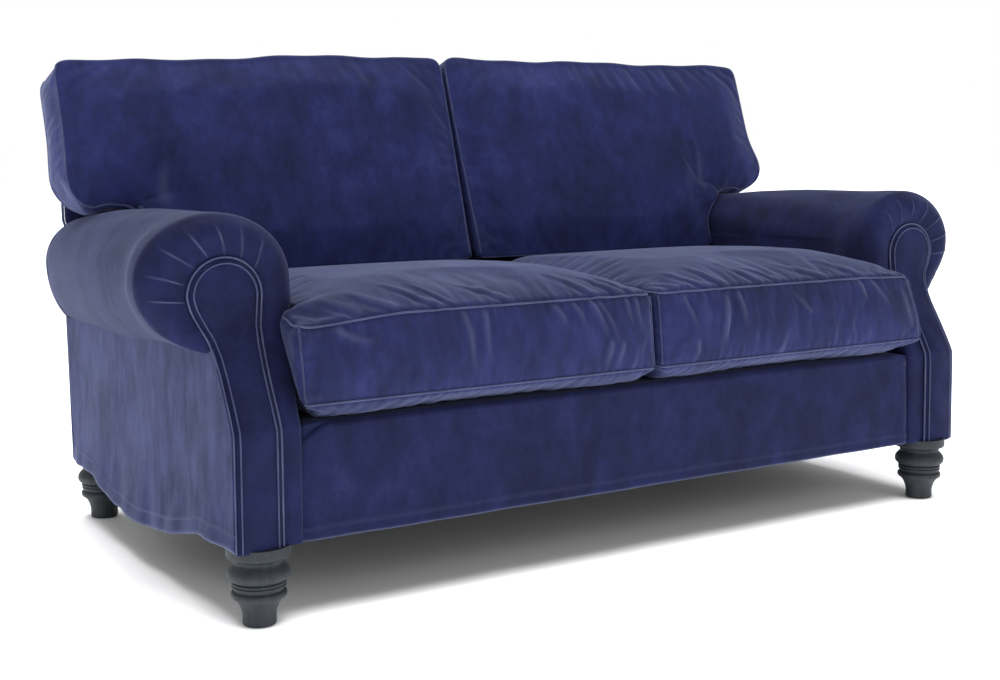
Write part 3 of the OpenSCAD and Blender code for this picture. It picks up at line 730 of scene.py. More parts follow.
# %% Facings and their piping
def lay_facing(u, v):
    rise = np.clip(v / 0.8, 0, 1)
    z = HEM_Z - 0.002 + (HEAD_Z - HEM_Z + 0.002) * rise
    inner, outer = facing_edges(z)
    turn = np.clip((v - 0.8) / 0.2, 0, 1) * math.pi / 2
    z = z + HEAD_R * np.sin(turn)
    middle = np.where(v > 0.8, HEAD_X, (inner + outer) / 2)
    half = np.where(v > 0.8, HEAD_R * np.cos(turn), (outer - inner) / 2)
    across = np.sin((u - 0.5) * math.pi)
    x = middle + half * across
    rim = np.minimum(half * (1 - np.abs(across)), HEAD_Z + HEAD_R - z)
    swell = 1 - np.exp(-rim / 0.006)
    y = front_y(z) - 0.0015 - 0.0075 * swell - 0.0022 * smooth(0, 0.035, rim)
    y += 0.0008 * np.sin(z * 57 + 3 * across) * swell
    return np.c_[x, y, z]


def cord_path(inset, proud):
    x, z, _ = facing_outline(inset)
    return np.c_[x, front_y(z) - proud, z]


facings = pair(cloth_sheet("arm_facing_velvet_right", 40, 190, lay_facing, (0.77, 0, 0.35)))
# The pale values set how strong each cord's painted highlight is.
edge_right = tube("facing_cord_right", cord_path(-0.0010, 0.0055), 0.0017, pale=0.42)
inner_right = tube("facing_inner_cord_right", cord_path(0.0085, 0.0100), 0.0014, pale=0.30)
for (facing, side), (edge, _), (inner, _) in zip(facings, pair(edge_right), pair(inner_right)):
    dress(facing, velvet_plain, "frame", ("arm_facing_" + side,))
    dress(edge, velvet_cord, "frame", ("facing_piping_" + side,))
    dress(inner, velvet_cord, "frame")

# %% [markdown]
# ## Front border and seat deck
# Between the arms a border of velvet hides the front rail. It sits a little behind the
# facings, rolls over on to the deck, and its sides turn back against the arms. The deck's
# cloth is drawn tight over wadding, and a lip of it drops in front of the rail, so that no
# wood shows by the border's corners.

# %% Border and deck
BORDER_X, BORDER_FOOT, BORDER_TOP = 0.6975, 0.1285, 0.308
DECK_X, DECK_Y = 0.691, (-0.4335, 0.205)


def lay_border(u, v):
    x = (u - 0.5) * 2 * BORDER_X
    side = smooth(0.0, 1.0, (BORDER_X - np.abs(x)) / 0.022)
    corner = 0.024 * (1 - smooth(-0.004, 0.055, BORDER_X - np.abs(x)))
    rise = np.clip(v / 0.82, 0, 1)
    over = np.clip((v - 0.82) / 0.18, 0, 1) * math.pi / 2
    z = BORDER_FOOT + (BORDER_TOP - corner - BORDER_FOOT) * rise + 0.0105 * np.sin(over)
    y = -0.4400 + 0.0065 * (1 - side) + 0.0105 * (1 - np.cos(over))
    y += 0.0011 * np.sin(x * 17 + 4 * v) + 0.0009 * np.sin(x * 41 + 1) * (1 - rise)
    y -= 0.0022 * np.sin(math.pi * rise)
    y -= 0.0012 * smooth(0.022, 0.018, z - BORDER_FOOT)
    return np.c_[x, y, z]


# Painted highlight along the border's lower edge and a fainter line 20 mm above it.
def painted_highlight_border(u, v):
    z = 0.18 * v / 0.82
    return 0.40 * smooth(0.004, 0.0, z) + 0.10 * np.exp(-((z - 0.020) / 0.002) ** 2)


def lay_deck(u, v):
    x = (u - 0.5) * 2 * DECK_X
    y = DECK_Y[0] + (DECK_Y[1] - DECK_Y[0]) * np.clip((v - 0.12) / 0.88, 0, 1)
    z = 0.3190 - 0.052 * smooth(0.12, 0.0, v) + 0.0009 * np.sin(7 * x) * np.sin(9 * y)
    z -= 0.0022 * np.exp(-((y + 0.33) / 0.004) ** 2) + 0.004 * smooth(0.67, DECK_X, np.abs(x))
    return np.c_[x, y, z]


border = cloth_sheet("front_border_velvet", 220, 60, lay_border, (0, 0, 0.22), painted_highlight=painted_highlight_border)
dress(border, velvet_plain, "frame", ("front_border",))
deck = cloth_sheet("seat_deck_velvet", 120, 60, lay_deck, (0, -0.1, 0.0), thick=0.012)
dress(deck, velvet_plain, "frame", ("deck_cover", "deck_pad"))

# %% [markdown]
# ## The back
# The upholstered back stands behind the cushions: narrow between the arms, full width
# above them, with round shoulders. Two blocks are joined by a voxel remesh, which welds
# and rounds them as padding does, and the block is then leaned over. The outside panel
# is a flat cloth inside a row of piping, and it also closes the ends of the rolls.

# %% Inside back
def rounded_block(name, low, high, bevel):
    """A cube at its size and place whose edges are rounded."""
    bpy.ops.object.select_all(action="DESELECT")
    middle = [(a + b) / 2 for a, b in zip(low, high)]
    bpy.ops.mesh.primitive_cube_add(size=1, location=middle)
    block = bpy.context.object
    block.name = block.data.name = name
    block.scale = [b - a for a, b in zip(low, high)]
    bpy.ops.object.transform_apply(location=True, rotation=True, scale=True)
    if bevel:
        edit_all(block, bpy.ops.mesh.bevel, offset=bevel, segments=2, affect="EDGES")
    return block


def joined(blocks, name, voxel):
    """Joins blocks and welds them into one skin with a voxel remesh."""
    only(blocks[0])
    for block in blocks:
        block.select_set(True)
    if len(blocks) > 1:
        bpy.ops.object.join()
    piece = bpy.context.object
    piece.name = piece.data.name = name
    finish_with(piece, "REMESH", mode="VOXEL", voxel_size=voxel, use_smooth_shade=True)
    return piece


def inside_back_y(z):
    """Depth of the inside back at height z."""
    return 0.388 - (BACK_TOP_Z - np.asarray(z)) * math.tan(math.radians(18))


SHOULDER = 0.150
FULL_X, FULL_Z, CREST_Z = 0.8135, 0.662, 0.8115
low_block = rounded_block("low_block", (-0.678, 0, 0.312), (0.678, 1, 0.72), 0)
high_block = rounded_block("high_block", (-FULL_X, 0, FULL_Z), (FULL_X, 1, CREST_Z), 0)
back = joined([low_block, high_block], "inside_back_velvet", 0.010)
rows = points(back)
beyond = np.clip((np.abs(rows[:, 0]) - (FULL_X - SHOULDER)) / SHOULDER, 0, 1)
top = CREST_Z - SHOULDER * (1 - np.sqrt(1 - beyond ** 2))
lowered = FULL_Z + (rows[:, 2] - FULL_Z) * (top - 0.6615) / 0.15
rows[:, 2] = np.where(rows[:, 2] > FULL_Z, lowered, rows[:, 2])
near, far = inside_back_y(rows[:, 2]), rear_y(rows[:, 2]) - 0.004
rows[:, 1] = near + (far - near) * np.clip(rows[:, 1], 0, 1)
set_points(back, rows)
finish_with(back, "SMOOTH", factor=0.6, iterations=4)
dress(back, velvet_back, "frame", ("inside_back_cover", "inside_back_pad"))

# %% Outside back
EDGE_X, EDGE_Z, OUTSIDE_FOOT = 0.8125, 0.8105, HEM_Z - 0.004
ROLL_END_X, ROLL_END_Z, ROLL_END_R = 0.764, 0.527, 0.085


def back_outline(inset):
    """The outside back's outline from one foot over the top to the other, as x and z."""
    turn = np.linspace(0, math.pi / 2, 24)
    roll_turn = np.linspace(-0.95, 1.02, 30)
    roll_rise = np.where(roll_turn < 0, ROLL_END_R + SAG[-1], ROLL_END_R)
    x = np.r_[[ARM_OUT] * 12, ROLL_END_X + ROLL_END_R * np.cos(roll_turn), EDGE_X, EDGE_X,
              EDGE_X - SHOULDER + SHOULDER * np.cos(turn), np.linspace(0.64, 0.02, 14)]
    z = np.r_[np.linspace(OUTSIDE_FOOT, 0.414, 12),
              ROLL_END_Z + roll_rise * np.sin(roll_turn), 0.612, 0.640,
              EDGE_Z - SHOULDER + SHOULDER * np.sin(turn), [EDGE_Z] * 14]
    x, z = np.r_[x, 0, -x[::-1]], np.r_[z, EDGE_Z, z[::-1]]
    along = np.r_[0, np.cumsum(np.hypot(np.diff(x), np.diff(z)))]
    even = np.linspace(0, along[-1], 700)
    x, z = np.interp(even, along, x), np.interp(even, along, z)
    dx, dz = np.gradient(x), np.gradient(z)
    length = np.hypot(dx, dz)
    return x - inset * dz / length, z + inset * dx / length


edge_x, edge_z = back_outline(0.004)
half = len(edge_x) // 2
order = np.argsort(edge_z[:half])
TOP_Z = EDGE_Z - 0.004


def outside_height(v):
    return OUTSIDE_FOOT + (TOP_Z - OUTSIDE_FOOT) * (1 - (1 - v) ** 1.7)


def lay_outside(u, v):
    z = outside_height(v)
    reach = np.interp(z, edge_z[:half][order], np.abs(edge_x[:half][order]))
    x = (u - 0.5) * 2 * reach
    rim = np.minimum(reach - np.abs(x), TOP_Z - z)
    bow = 0.0016 * np.sin(5 * x + 1) * np.cos(9 * z) + 0.0012 * np.sin(31 * x) * smooth(0.35, 0.12, z)
    return np.c_[x, rear_y(z) - 0.0015 + (0.0022 + bow) * smooth(0, 0.03, rim), z]


# Painted highlight along the outside back's lower edge.
def painted_highlight_outside(u, v):
    return 0.35 * smooth(0.005, 0.0, outside_height(v) - HEM_Z)


outside = cloth_sheet("outside_back_velvet", 200, 90, lay_outside, (0, 0.2, 0.4), painted_highlight=painted_highlight_outside)
dress(outside, velvet_upright, "frame", ("outside_back_panel",))
edge_x, edge_z = back_outline(0.001)
# The pale value sets the cord's painted highlight.
back_cord = tube("outside_back_cord", np.c_[edge_x, rear_y(edge_z) - 0.0005, edge_z], 0.0028, pale=0.35)
dress(back_cord, velvet_cord, "frame")

# %% [markdown]
# ## Stuffing a cushion
# A cushion is two panels and a boxing strip, sewn round and overfilled with feather. The
# seams can't stretch, so the panels swell between them and pucker along them. The block
# is remeshed to an even skin, the points by the seams are pinned, and the cloth solver
# blows the rest up with no gravity. No point may travel further than a cap.

# %% Cloth simulation
def get_painted_highlight(piece):
    """Reads back the painted highlight at each point."""
    values = np.zeros(len(piece.data.vertices), np.float32)
    piece.data.attributes["painted_highlight"].data.foreach_get("value", values)
    return values.astype(float)


def near_path(rows, path):
    """For each row, the distance to the path and the share of the way along it."""
    tree = KDTree(len(path))
    for i, p in enumerate(path):
        tree.insert(p, i)
    tree.balance()
    found = [tree.find(row) for row in rows]
    return np.array([f[2] for f in found]), np.array([f[1] for f in found]) / len(path)


CLOTH = {
    "quality": 4, "mass": 0.25, "use_pressure": True, "uniform_pressure_force": 4,
    "tension_stiffness": 8, "compression_stiffness": 8, "shear_stiffness": 4,
    "bending_stiffness": 0.2, "shrink_min": -0.02, "vertex_group_mass": "seams",
}
SEAM_STEP = 0.004


def stuff(piece, seams, cap):
    """Blows the piece up with the cloth solver between its pinned seams."""
    rows = points(piece)
    away = np.min([near_path(rows, seam)[0] for seam in seams], axis=0)
    held = piece.vertex_groups.new(name="seams")
    for i in np.nonzero(away < 0.009)[0]:
        held.add([int(i)], 1.0, "REPLACE")
    only(piece)
    bpy.ops.object.modifier_add(type="CLOTH")
    cloth = piece.modifiers[-1]
    for key, value in CLOTH.items():
        setattr(cloth.settings, key, value)
    cloth.settings.effector_weights.gravity = 0
    scene = bpy.context.scene
    for step in range(1, 21):
        scene.frame_set(step)
    bpy.ops.object.modifier_apply(modifier=cloth.name)
    scene.frame_set(1)
    piece.vertex_groups.clear()
    blown = points(piece)
    move = blown - rows
    far_moved = np.linalg.norm(move, axis=1)
    scale = np.minimum(1, cap / np.maximum(far_moved, 1e-9))
    set_points(piece, rows + move * scale[:, None])
    print(piece.name, "moved at most", round(float(far_moved.max()) * 1000, 1), "mm before the cap")


def resample(path, closed=True):
    """Points at an even step along a path."""
    path = np.asarray(path, float)
    if closed:
        path = np.vstack([path, path[:1]])
    along = np.r_[0, np.cumsum(np.linalg.norm(np.diff(path, axis=0), axis=1))]
    count = max(8, int(along[-1] / SEAM_STEP))
    even = np.linspace(0, along[-1], count, endpoint=not closed)
    return np.c_[[np.interp(even, along, path[:, k]) for k in range(3)]].T


def gather(piece, seams, depth, reach, wave, seed):
    """Pulls the cloth in at each seam, puckers it beside the seam and paints a highlight on the puckers'
    crests.
    """
    rows, out = points(piece), normals(piece)
    draw = np.random.default_rng(seed)
    change, pale = np.zeros(len(rows)), np.zeros(len(rows))
    for seam in seams:
        away, share = near_path(rows, seam)
        length = len(seam) * SEAM_STEP
        count = int(length / wave)
        phase = np.interp(share, np.linspace(0, 1, count), np.cumsum(draw.uniform(0.6, 1.4, count)))
        size = np.interp(share, np.linspace(0, 1, count), draw.uniform(0.2, 1.0, count))
        ripple = np.sin(2 * math.pi * phase) * size
        change -= 0.0030 * np.exp(-(away / 0.007) ** 2)
        change += depth * ripple * np.exp(-away / reach) * smooth(0.0, 0.008, away)
        # Painted highlight on the puckers' crests.
        pale += 60 * depth * np.clip(ripple, 0, 1) * np.exp(-away / reach)
    set_points(piece, rows + out * change[:, None])
    set_painted_highlight(piece, pale)


def crease(piece, folds):
    """Raises narrow folds, each from one point to another, with its width and height, and paints a
    highlight along each crest.
    """
    rows, out = points(piece), normals(piece)
    change = np.zeros(len(rows))
    pale = get_painted_highlight(piece)
    for start, end, width, height in folds:
        a, b = np.array(start), np.array(end)
        along = b - a
        length = np.linalg.norm(along)
        along = along / length
        near = np.nonzero(np.linalg.norm(rows - (a + b) / 2, axis=1) < length * 0.6 + 4 * width)[0]
        t = (rows[near] - a) @ along / length
        side = np.cross(out[near], along)
        side /= np.maximum(np.linalg.norm(side, axis=1), 1e-6)[:, None]
        q = ((rows[near] - a) * side).sum(1) / width + 0.5 * np.sin(4 * t + 20 * a[0])
        lies = np.abs(((rows[near] - a) * out[near]).sum(1)) < 0.05
        fade = smooth(-0.05, 0.12, t) * smooth(1.05, 0.35, t) * lies
        change[near] += height * fade * (np.exp(-q * q) - 0.55 * np.exp(-((q - 1.7) / 1.1) ** 2))
        # Painted highlight along the fold's crest.
        pale[near] += 0.17 * fade * np.exp(-(q / 0.7) ** 2)
    set_points(piece, rows + out * change[:, None])
    set_painted_highlight(piece, pale)


def sewn_cord(name, piece, path, radius, pale, closed=True):
    """A piping cord that follows the stuffed skin under a drawn path."""
    mesh = piece.data
    tree = BVHTree.FromPolygons([v.co for v in mesh.vertices], [p.vertices for p in mesh.polygons])
    found = [tree.find_nearest(Vector(p)) for p in path]
    rows = np.array([f[0] + f[1] * (radius * 0.55) for f in found])
    for _ in range(6):
        eased = (np.roll(rows, 1, 0) + 2 * rows + np.roll(rows, -1, 0)) / 4
        rows = eased if closed else np.vstack([rows[:1], eased[1:-1], rows[-1:]])
    return tube(name, rows, radius, closed=closed, pale=pale)


# %% [markdown]
# ## Seat cushions
# Each seat cushion is deep and feather-filled. Its boxing leans forward at the foot, its
# top is crowned near the front, and it is flattened where the back cushion stands on it.
# Both are drawn from one block. In front of the arms nothing holds them, so their outer
# corners spread, the left one high up and the right one low down. The folds that people's
# legs leave run back from the front seam and down the boxing, and differ from one cushion
# to the other.

# %% Seat cushion shape
SEAT_X, SEAT_Y = (0.0050, 0.6755), (-0.4650, 0.2170)
SEAT_FOOT, SEAT_TOP = 0.3235, 0.4920


def seat_seam(z, front):
    """The seam's plan: a rectangle with round corners at one height, its front set back."""
    r = 0.011
    (x0, x1), y0, y1 = SEAT_X, SEAT_Y[0] + front, SEAT_Y[1]
    turn = np.linspace(0, math.pi / 2, 5)
    corners = (
        (x1 - r, y0 + r, -math.pi / 2), (x1 - r, y1 - r, 0),
        (x0 + r, y1 - r, math.pi / 2), (x0 + r, y0 + r, math.pi),
    )
    path = [(cx + r * math.cos(a + t), cy + r * math.sin(a + t), z) for cx, cy, a in corners for t in turn]
    return resample(path)


def seat_corner(x):
    """The upright seam at a front corner, from the low seam to the top one."""
    return resample([(x, SEAT_Y[0] + 0.003, 0.354), (x, SEAT_Y[0] + 0.019, 0.486)], closed=False)


def spread(rows, side):
    """Lets a cushion's outer front corner swell in front of the arm, lower down on the right."""
    x, y, z = rows.T.copy()
    high, low, sag = (0.007, 0.033, 0.004) if side == "right" else (0.026, 0.024, 0.014)
    free = smooth(front_y(z) - 0.004, front_y(z) - 0.032, y) * smooth(0.52, 0.676, np.abs(x))
    corner = smooth(-0.38, -0.44, y) * smooth(0.50, 0.676, np.abs(x)) * smooth(0.40, 0.49, z)
    x = x + np.sign(x) * free * (high + (low - high) * smooth(0.50, 0.37, z))
    x = x + 0.012 * smooth(0.30, 0.0, np.abs(x)) * smooth(0.0, -0.40, y)
    free = front_y(z) - 0.006 > y
    x = np.where(free, x, np.sign(x) * np.minimum(np.abs(x), inner_wall(y, z) - 0.004))
    ear = 0.008 * np.exp(-((np.abs(x) - 0.702) ** 2 + (y + 0.447) ** 2) / 0.011 ** 2) * (z > 0.45)
    return np.c_[x, y, z - sag * corner + ear]


seat_top_seam, seat_low_seam = seat_seam(0.4880, 0.017), seat_seam(0.3520, 0.001)
seat_corners = [seat_corner(SEAT_X[0] + 0.002), seat_corner(SEAT_X[1] - 0.002)]


def draw_seat(rows):
    """Moves the block's points to the drawn shape of the right seat cushion."""
    x, y, z = rows.T.copy()
    a = np.clip((x - SEAT_X[0]) / (SEAT_X[1] - SEAT_X[0]), 0, 1) * 2 - 1
    b = np.clip((y - SEAT_Y[0]) / (SEAT_Y[1] - SEAT_Y[0]), 0, 1)
    h = np.clip((z - SEAT_FOOT) / (SEAT_TOP - SEAT_FOOT), 0, 1)
    rise = np.interp(b, (0, 0.03, 0.08, 0.15, 0.22, 0.35, 0.5, 0.7, 0.83, 1.0),
                     (0, 0.009, 0.017, 0.023, 0.026, 0.026, 0.024, 0.016, 0.006, 0.0))
    dome = rise * (1 - np.abs(a) ** 3.2) ** 0.8
    belly = 0.022 * (1 - smooth(0.0, 0.055, y - SEAT_Y[0]) * smooth(0, 0.05, 1 - np.abs(a)) * (y < 0.2))
    z = np.where(h > 0.5, z + dome * smooth(0.5, 1.0, h), z)
    z = np.where(h < 0.3, z + belly * (1 - h / 0.3), z)
    lean = 0.017 * h * (1 - b) ** 6
    front_swell = 0.004 * np.sin(math.pi * np.clip(h, 0, 1)) * smooth(0.1, 0, b) * (1 - a ** 4)
    y = y + lean - front_swell
    return np.c_[x, y, z]


seat_low, seat_high = zip(SEAT_X, SEAT_Y, (SEAT_FOOT, SEAT_TOP))
block = rounded_block("seat_block", seat_low, seat_high, 0.006)
seat_right = joined([block], "seat_cushion_velvet_right", 0.008)
set_points(seat_right, draw_seat(points(seat_right)))
finish_with(seat_right, "SMOOTH", factor=0.5, iterations=2)
stuff(seat_right, (seat_top_seam, seat_low_seam, *seat_corners), 0.022)


def settle_seat(rows):
    """Keeps the stuffed seat cushion off its neighbours and flat on the deck."""
    x, y, z = rows.T.copy()
    x = np.clip(x, 0.0028, 0.6775)
    y = np.clip(y, -0.480, 0.2200)
    under_back = smooth(0.06, 0.16, y)
    z = np.minimum(z, 0.575 + (0.5095 - 0.575) * under_back)
    z = np.maximum(z, 0.3225)
    return np.c_[x, y, z]


set_points(seat_right, settle_seat(points(seat_right)))
finish_with(seat_right, "SUBSURF", levels=1, render_levels=1)
seat_left = mirrored(seat_right, "seat_cushion_velvet_left")

# %% Seat cushion folds and piping
SEAT_FOLDS = {
    "right": [
        ((0.387, -0.462, 0.424), (0.340, -0.455, 0.486), 0.0048, 0.0030),
        ((0.323, -0.448, 0.497), (0.262, -0.370, 0.545), 0.0055, 0.0030),
        ((0.280, -0.448, 0.497), (0.215, -0.350, 0.545), 0.007, 0.0030),
        ((0.193, -0.448, 0.497), (0.130, -0.360, 0.540), 0.008, 0.0035),
        ((0.147, -0.448, 0.497), (0.070, -0.370, 0.535), 0.008, 0.0030),
        ((0.067, -0.448, 0.495), (0.020, -0.360, 0.520), 0.008, 0.0030),
        ((0.456, -0.448, 0.497), (0.360, -0.370, 0.540), 0.009, 0.0030),
        ((0.560, -0.448, 0.495), (0.450, -0.365, 0.538), 0.009, 0.0025),
        ((0.077, -0.452, 0.485), (0.100, -0.466, 0.400), 0.0048, 0.0030),
        ((0.100, -0.466, 0.400), (0.093, -0.464, 0.352), 0.006, 0.0028),
        ((0.203, -0.454, 0.480), (0.224, -0.466, 0.405), 0.006, 0.0028),
        ((0.175, -0.454, 0.478), (0.154, -0.466, 0.365), 0.007, 0.0030),
        ((0.525, -0.454, 0.482), (0.550, -0.464, 0.440), 0.007, 0.0025),
        ((0.561, -0.454, 0.482), (0.612, -0.464, 0.425), 0.006, 0.0028),
        ((0.300, -0.460, 0.352), (0.330, -0.466, 0.410), 0.008, 0.0020),
    ],
    "left": [
        ((-0.431, -0.448, 0.497), (-0.520, -0.360, 0.545), 0.007, 0.0040),
        ((-0.405, -0.448, 0.497), (-0.470, -0.365, 0.545), 0.0048, 0.0030),
        ((-0.300, -0.448, 0.497), (-0.375, -0.360, 0.545), 0.008, 0.0035),
        ((-0.110, -0.448, 0.497), (-0.190, -0.350, 0.545), 0.008, 0.0035),
        ((-0.060, -0.448, 0.495), (-0.130, -0.365, 0.535), 0.007, 0.0030),
        ((-0.030, -0.448, 0.494), (-0.085, -0.385, 0.522), 0.006, 0.0030),
        ((-0.584, -0.446, 0.495), (-0.640, -0.385, 0.515), 0.008, 0.0040),
        ((-0.520, -0.446, 0.495), (-0.590, -0.370, 0.530), 0.009, 0.0030),
        ((-0.405, -0.454, 0.484), (-0.375, -0.466, 0.365), 0.008, 0.0028),
        ((-0.360, -0.454, 0.484), (-0.350, -0.466, 0.380), 0.007, 0.0022),
        ((-0.215, -0.454, 0.484), (-0.195, -0.464, 0.440), 0.006, 0.0028),
        ((-0.175, -0.454, 0.484), (-0.155, -0.464, 0.435), 0.006, 0.0028),
        ((-0.140, -0.454, 0.484), (-0.105, -0.466, 0.415), 0.007, 0.0048),
        ((-0.105, -0.466, 0.415), (-0.110, -0.464, 0.355), 0.007, 0.0040),
        ((-0.120, -0.454, 0.484), (-0.078, -0.466, 0.400), 0.0048, 0.0030),
        ((-0.078, -0.466, 0.410), (-0.085, -0.464, 0.350), 0.006, 0.0030),
        ((-0.060, -0.454, 0.484), (-0.045, -0.466, 0.430), 0.005, 0.0030),
        ((-0.038, -0.454, 0.484), (-0.028, -0.466, 0.420), 0.005, 0.0028),
        ((-0.640, -0.452, 0.470), (-0.560, -0.462, 0.440), 0.009, 0.0030),
        ((-0.050, -0.464, 0.352), (-0.042, -0.466, 0.410), 0.005, 0.0022),
    ],
}
for seat, side, seed in ((seat_right, "right", 11), (seat_left, "left", 23)):
    flip = 1 if side == "right" else FLIP
    set_points(seat, spread(points(seat), side))
    top_seam, low_seam, in_corner, out_corner = (
        spread(path * flip, side) for path in (seat_top_seam, seat_low_seam, *seat_corners))
    gather(seat, (top_seam, low_seam, in_corner, out_corner), 0.0014, 0.016, 0.018, seed)
    crease(seat, SEAT_FOLDS[side])
    # No painted highlight on the underside, below the low seam.
    set_painted_highlight(seat, get_painted_highlight(seat) * smooth(0.342, 0.360, points(seat)[:, 2]))
    body = "seat_" + side
    for where, seam in (("top", top_seam), ("low", low_seam), ("in", in_corner), ("out", out_corner)):
        round_it = where in ("top", "low")
        # Painted highlight: stronger on the round seams than on the upright corner cords.
        pale = 0.34 if round_it else 0.16
        cord = sewn_cord(f"seat_cord_{where}_{side}", seat, seam, 0.0019, pale, closed=round_it)
        stands = (f"seat_piping_{side}",) if where == "top" else ()
        dress(cord, velvet_cord, body, stands)
    dress(seat, velvet_seat, body, (f"seat_cushion_{side}", f"seat_filling_{side}"))

# %% [markdown]
# ## Back cushions
# A back cushion is L-shaped: a body between the arms and a wing over the arm. It is drawn
# upright as two joined blocks, with the foot cut level, stuffed in the same way as the
# seats, and leaned back on the inside back. The left one has sunk at its outer top corner.

# %% Back cushion shape
RAKE = math.radians(18)
LEAN_Y, STAND_Z = 0.1615, 0.5130
CUSHION_T, CUSHION_L = 0.121, 0.466
BACK_X, WING_X, WING_Z = (0.0050, 0.6755), 0.8620, 0.6640
WING_FOOT_R, WING_TOP_R = 0.020, 0.022
BLOCK_DEEP, WING_FOOT = 0.003, 0.160


def lean(rows):
    """Turns x, length and depth to the sofa's x, y and z."""
    x, along, deep = np.asarray(rows).T
    return np.c_[x, LEAN_Y + along * math.sin(RAKE) + deep * math.cos(RAKE),
                 STAND_Z + along * math.cos(RAKE) - deep * math.sin(RAKE)]


def back_seam(deep):
    """The outline of the front or the rear panel, foot level and wing clear of the arm."""
    foot = deep * math.tan(RAKE)
    wing = (WING_Z - STAND_Z + deep * math.sin(RAKE)) / math.cos(RAKE)
    x0, x1, x2, top, r, low_r = *BACK_X, WING_X, CUSHION_L, WING_TOP_R, WING_FOOT_R
    turn = np.linspace(0, math.pi / 2, 8)
    path = [(x0 + 0.01, foot), (x1, foot)]
    path += [(x1 + 0.03 - 0.03 * math.cos(t), wing - 0.03 + 0.03 * math.sin(t)) for t in turn]
    path += [(x2 - low_r + low_r * math.sin(t), wing + low_r - low_r * math.cos(t)) for t in turn]
    path += [(x2 - r + r * math.cos(t), top - r + r * math.sin(t)) for t in turn]
    path += [(x0 + r - r * math.sin(t), top - r + r * math.cos(t)) for t in turn]
    return resample([(x, along, deep) for x, along in path])


front_seam, rear_seam = back_seam(0.006), back_seam(CUSHION_T - 0.004)
blocks = [
    rounded_block(name, (x0, foot, BLOCK_DEEP), (x1, CUSHION_L, CUSHION_T), 0.006)
    for name, x0, foot, x1 in (("body_block", BACK_X[0], 0, BACK_X[1]),
                               ("wing_block", BACK_X[1] - 0.10, WING_FOOT, WING_X))
]
cushion_right = joined(blocks, "back_cushion_velvet_right", 0.008)
rows = points(cushion_right)
foot = rows[:, 2] * math.tan(RAKE)
in_body = smooth(BACK_X[1] + 0.012, BACK_X[1] - 0.012, rows[:, 0])
low_end = foot * in_body + (0.0045 + 0.325 * rows[:, 2]) * (1 - in_body)
bottom = WING_FOOT * (1 - in_body)
rows[:, 1] += low_end * np.clip(1 - (rows[:, 1] - bottom) / (CUSHION_L - bottom), 0, 1)
past = np.clip((rows[:, 0] - WING_X + WING_FOOT_R) / WING_FOOT_R, 0, 1)
rows[:, 1] += WING_FOOT_R * (1 - np.sqrt(1 - past ** 2)) * smooth(0.27, 0.17, rows[:, 1])
for end in (WING_X - rows[:, 0], rows[:, 0] - BACK_X[0]):
    past = np.clip(1 - end / WING_TOP_R, 0, 1)
    rows[:, 1] -= WING_TOP_R * (1 - np.sqrt(1 - past ** 2)) * smooth(0.38, 0.45, rows[:, 1])
set_points(cushion_right, rows)
finish_with(cushion_right, "SMOOTH", factor=0.5, iterations=2)
stuff(cushion_right, (front_seam, rear_seam), 0.022)


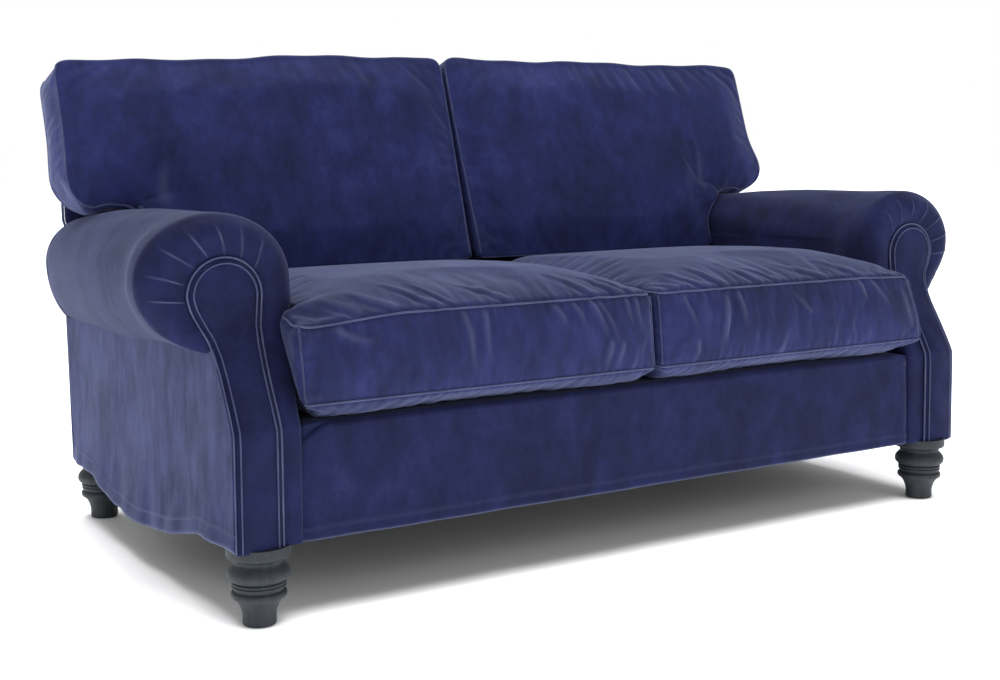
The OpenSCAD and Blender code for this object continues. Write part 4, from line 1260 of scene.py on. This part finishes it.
def settle_back(rows):
    """Leans the cushion and keeps it off the seat, the arm, the back and its twin."""
    x, y, z = lean(rows).T
    x = np.clip(x, 0.0028, 0.8720)
    on_body = smooth(0.704, 0.680, x)
    cx, cz, r = roll(y)
    on_arm = cz + np.sqrt(np.clip(r * r - (x - cx) ** 2, 0.0005, None)) + 0.0035
    rest = (WING_Z - on_arm) * smooth(0.868, 0.80, x) * (1 - on_body)
    z = z - rest * smooth(WING_Z + 0.13, WING_Z, z)
    z = np.maximum(z, 0.5125 * on_body + on_arm * (1 - on_body))
    beside = cx - np.sqrt(np.clip(r * r - np.clip(z - cz, 0, None) ** 2, 0, None)) - 0.004
    bulge = np.clip(beside - 0.6775, 0, 0.05) * smooth(0.632, 0.674, x) * smooth(0.720, 0.690, x)
    x = x + bulge * smooth(WING_Z + 0.01, WING_Z - 0.012, z)
    y = np.minimum(y, inside_back_y(z) - 0.0015)
    return np.c_[x, y, z]


def slump(rows, side):
    """The left cushion sinks at its outer top corner; the right one's wing is pulled outwards."""
    x, y, z = rows.T.copy()
    high = smooth(0.70, 0.94, z)
    wave = 0.0020 * np.sin(17 * x + 1.2) + 0.0012 * np.sin(43 * x)
    z = z + (wave - 0.025 * smooth(-0.15, -0.86, x)) * high
    tug = np.exp(-((z - 0.705) / 0.045) ** 2) * smooth(0.76, 0.86, np.abs(x))
    x = x + np.sign(x) * tug * (0.020 if side == "right" else 0.004)
    return np.c_[x, y, z]


set_points(cushion_right, settle_back(points(cushion_right)))
finish_with(cushion_right, "SUBSURF", levels=1, render_levels=1)
cushion_left = mirrored(cushion_right, "back_cushion_velvet_left")

# %% Back cushion folds and piping
BACK_FOLDS = {
    "right": [
        ((0.690, 0.205, 0.650), (0.665, 0.240, 0.770), 0.012, 0.0016),
    ],
    "left": [
        ((-0.690, 0.205, 0.650), (-0.660, 0.235, 0.740), 0.014, 0.0012),
    ],
}
for cushion, side, seed in ((cushion_right, "right", 31), (cushion_left, "left", 47)):
    flip = 1 if side == "right" else FLIP
    set_points(cushion, slump(points(cushion), side))
    seams = [slump(settle_back(seam) * flip, side) for seam in (front_seam, rear_seam)]
    gather(cushion, seams, 0.0007, 0.014, 0.024, seed)
    crease(cushion, BACK_FOLDS[side])
    body = "back_" + side
    for where, seam in zip(("front", "rear"), seams):
        # The pale value sets the cords' painted highlight.
        cord = sewn_cord(f"back_cord_{where}_{side}", cushion, seam, 0.0025, 0.28)
        dress(cord, velvet_cord, body, (f"back_piping_{side}",) if where == "front" else ())
    dress(cushion, velvet_back, body, (f"back_cushion_{side}", f"back_filling_{side}"))

# %% [markdown]
# ## Size and finish
# The visual model's bounds are printed; a little fullness of cloth may reach past the frame's box.
# The visual model has to stay in the frame's box, apart from a little fullness of cloth.

# %% Sizes
low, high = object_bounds()
print("visual from", [round(v, 3) for v in low], "to", [round(v, 3) for v in high])
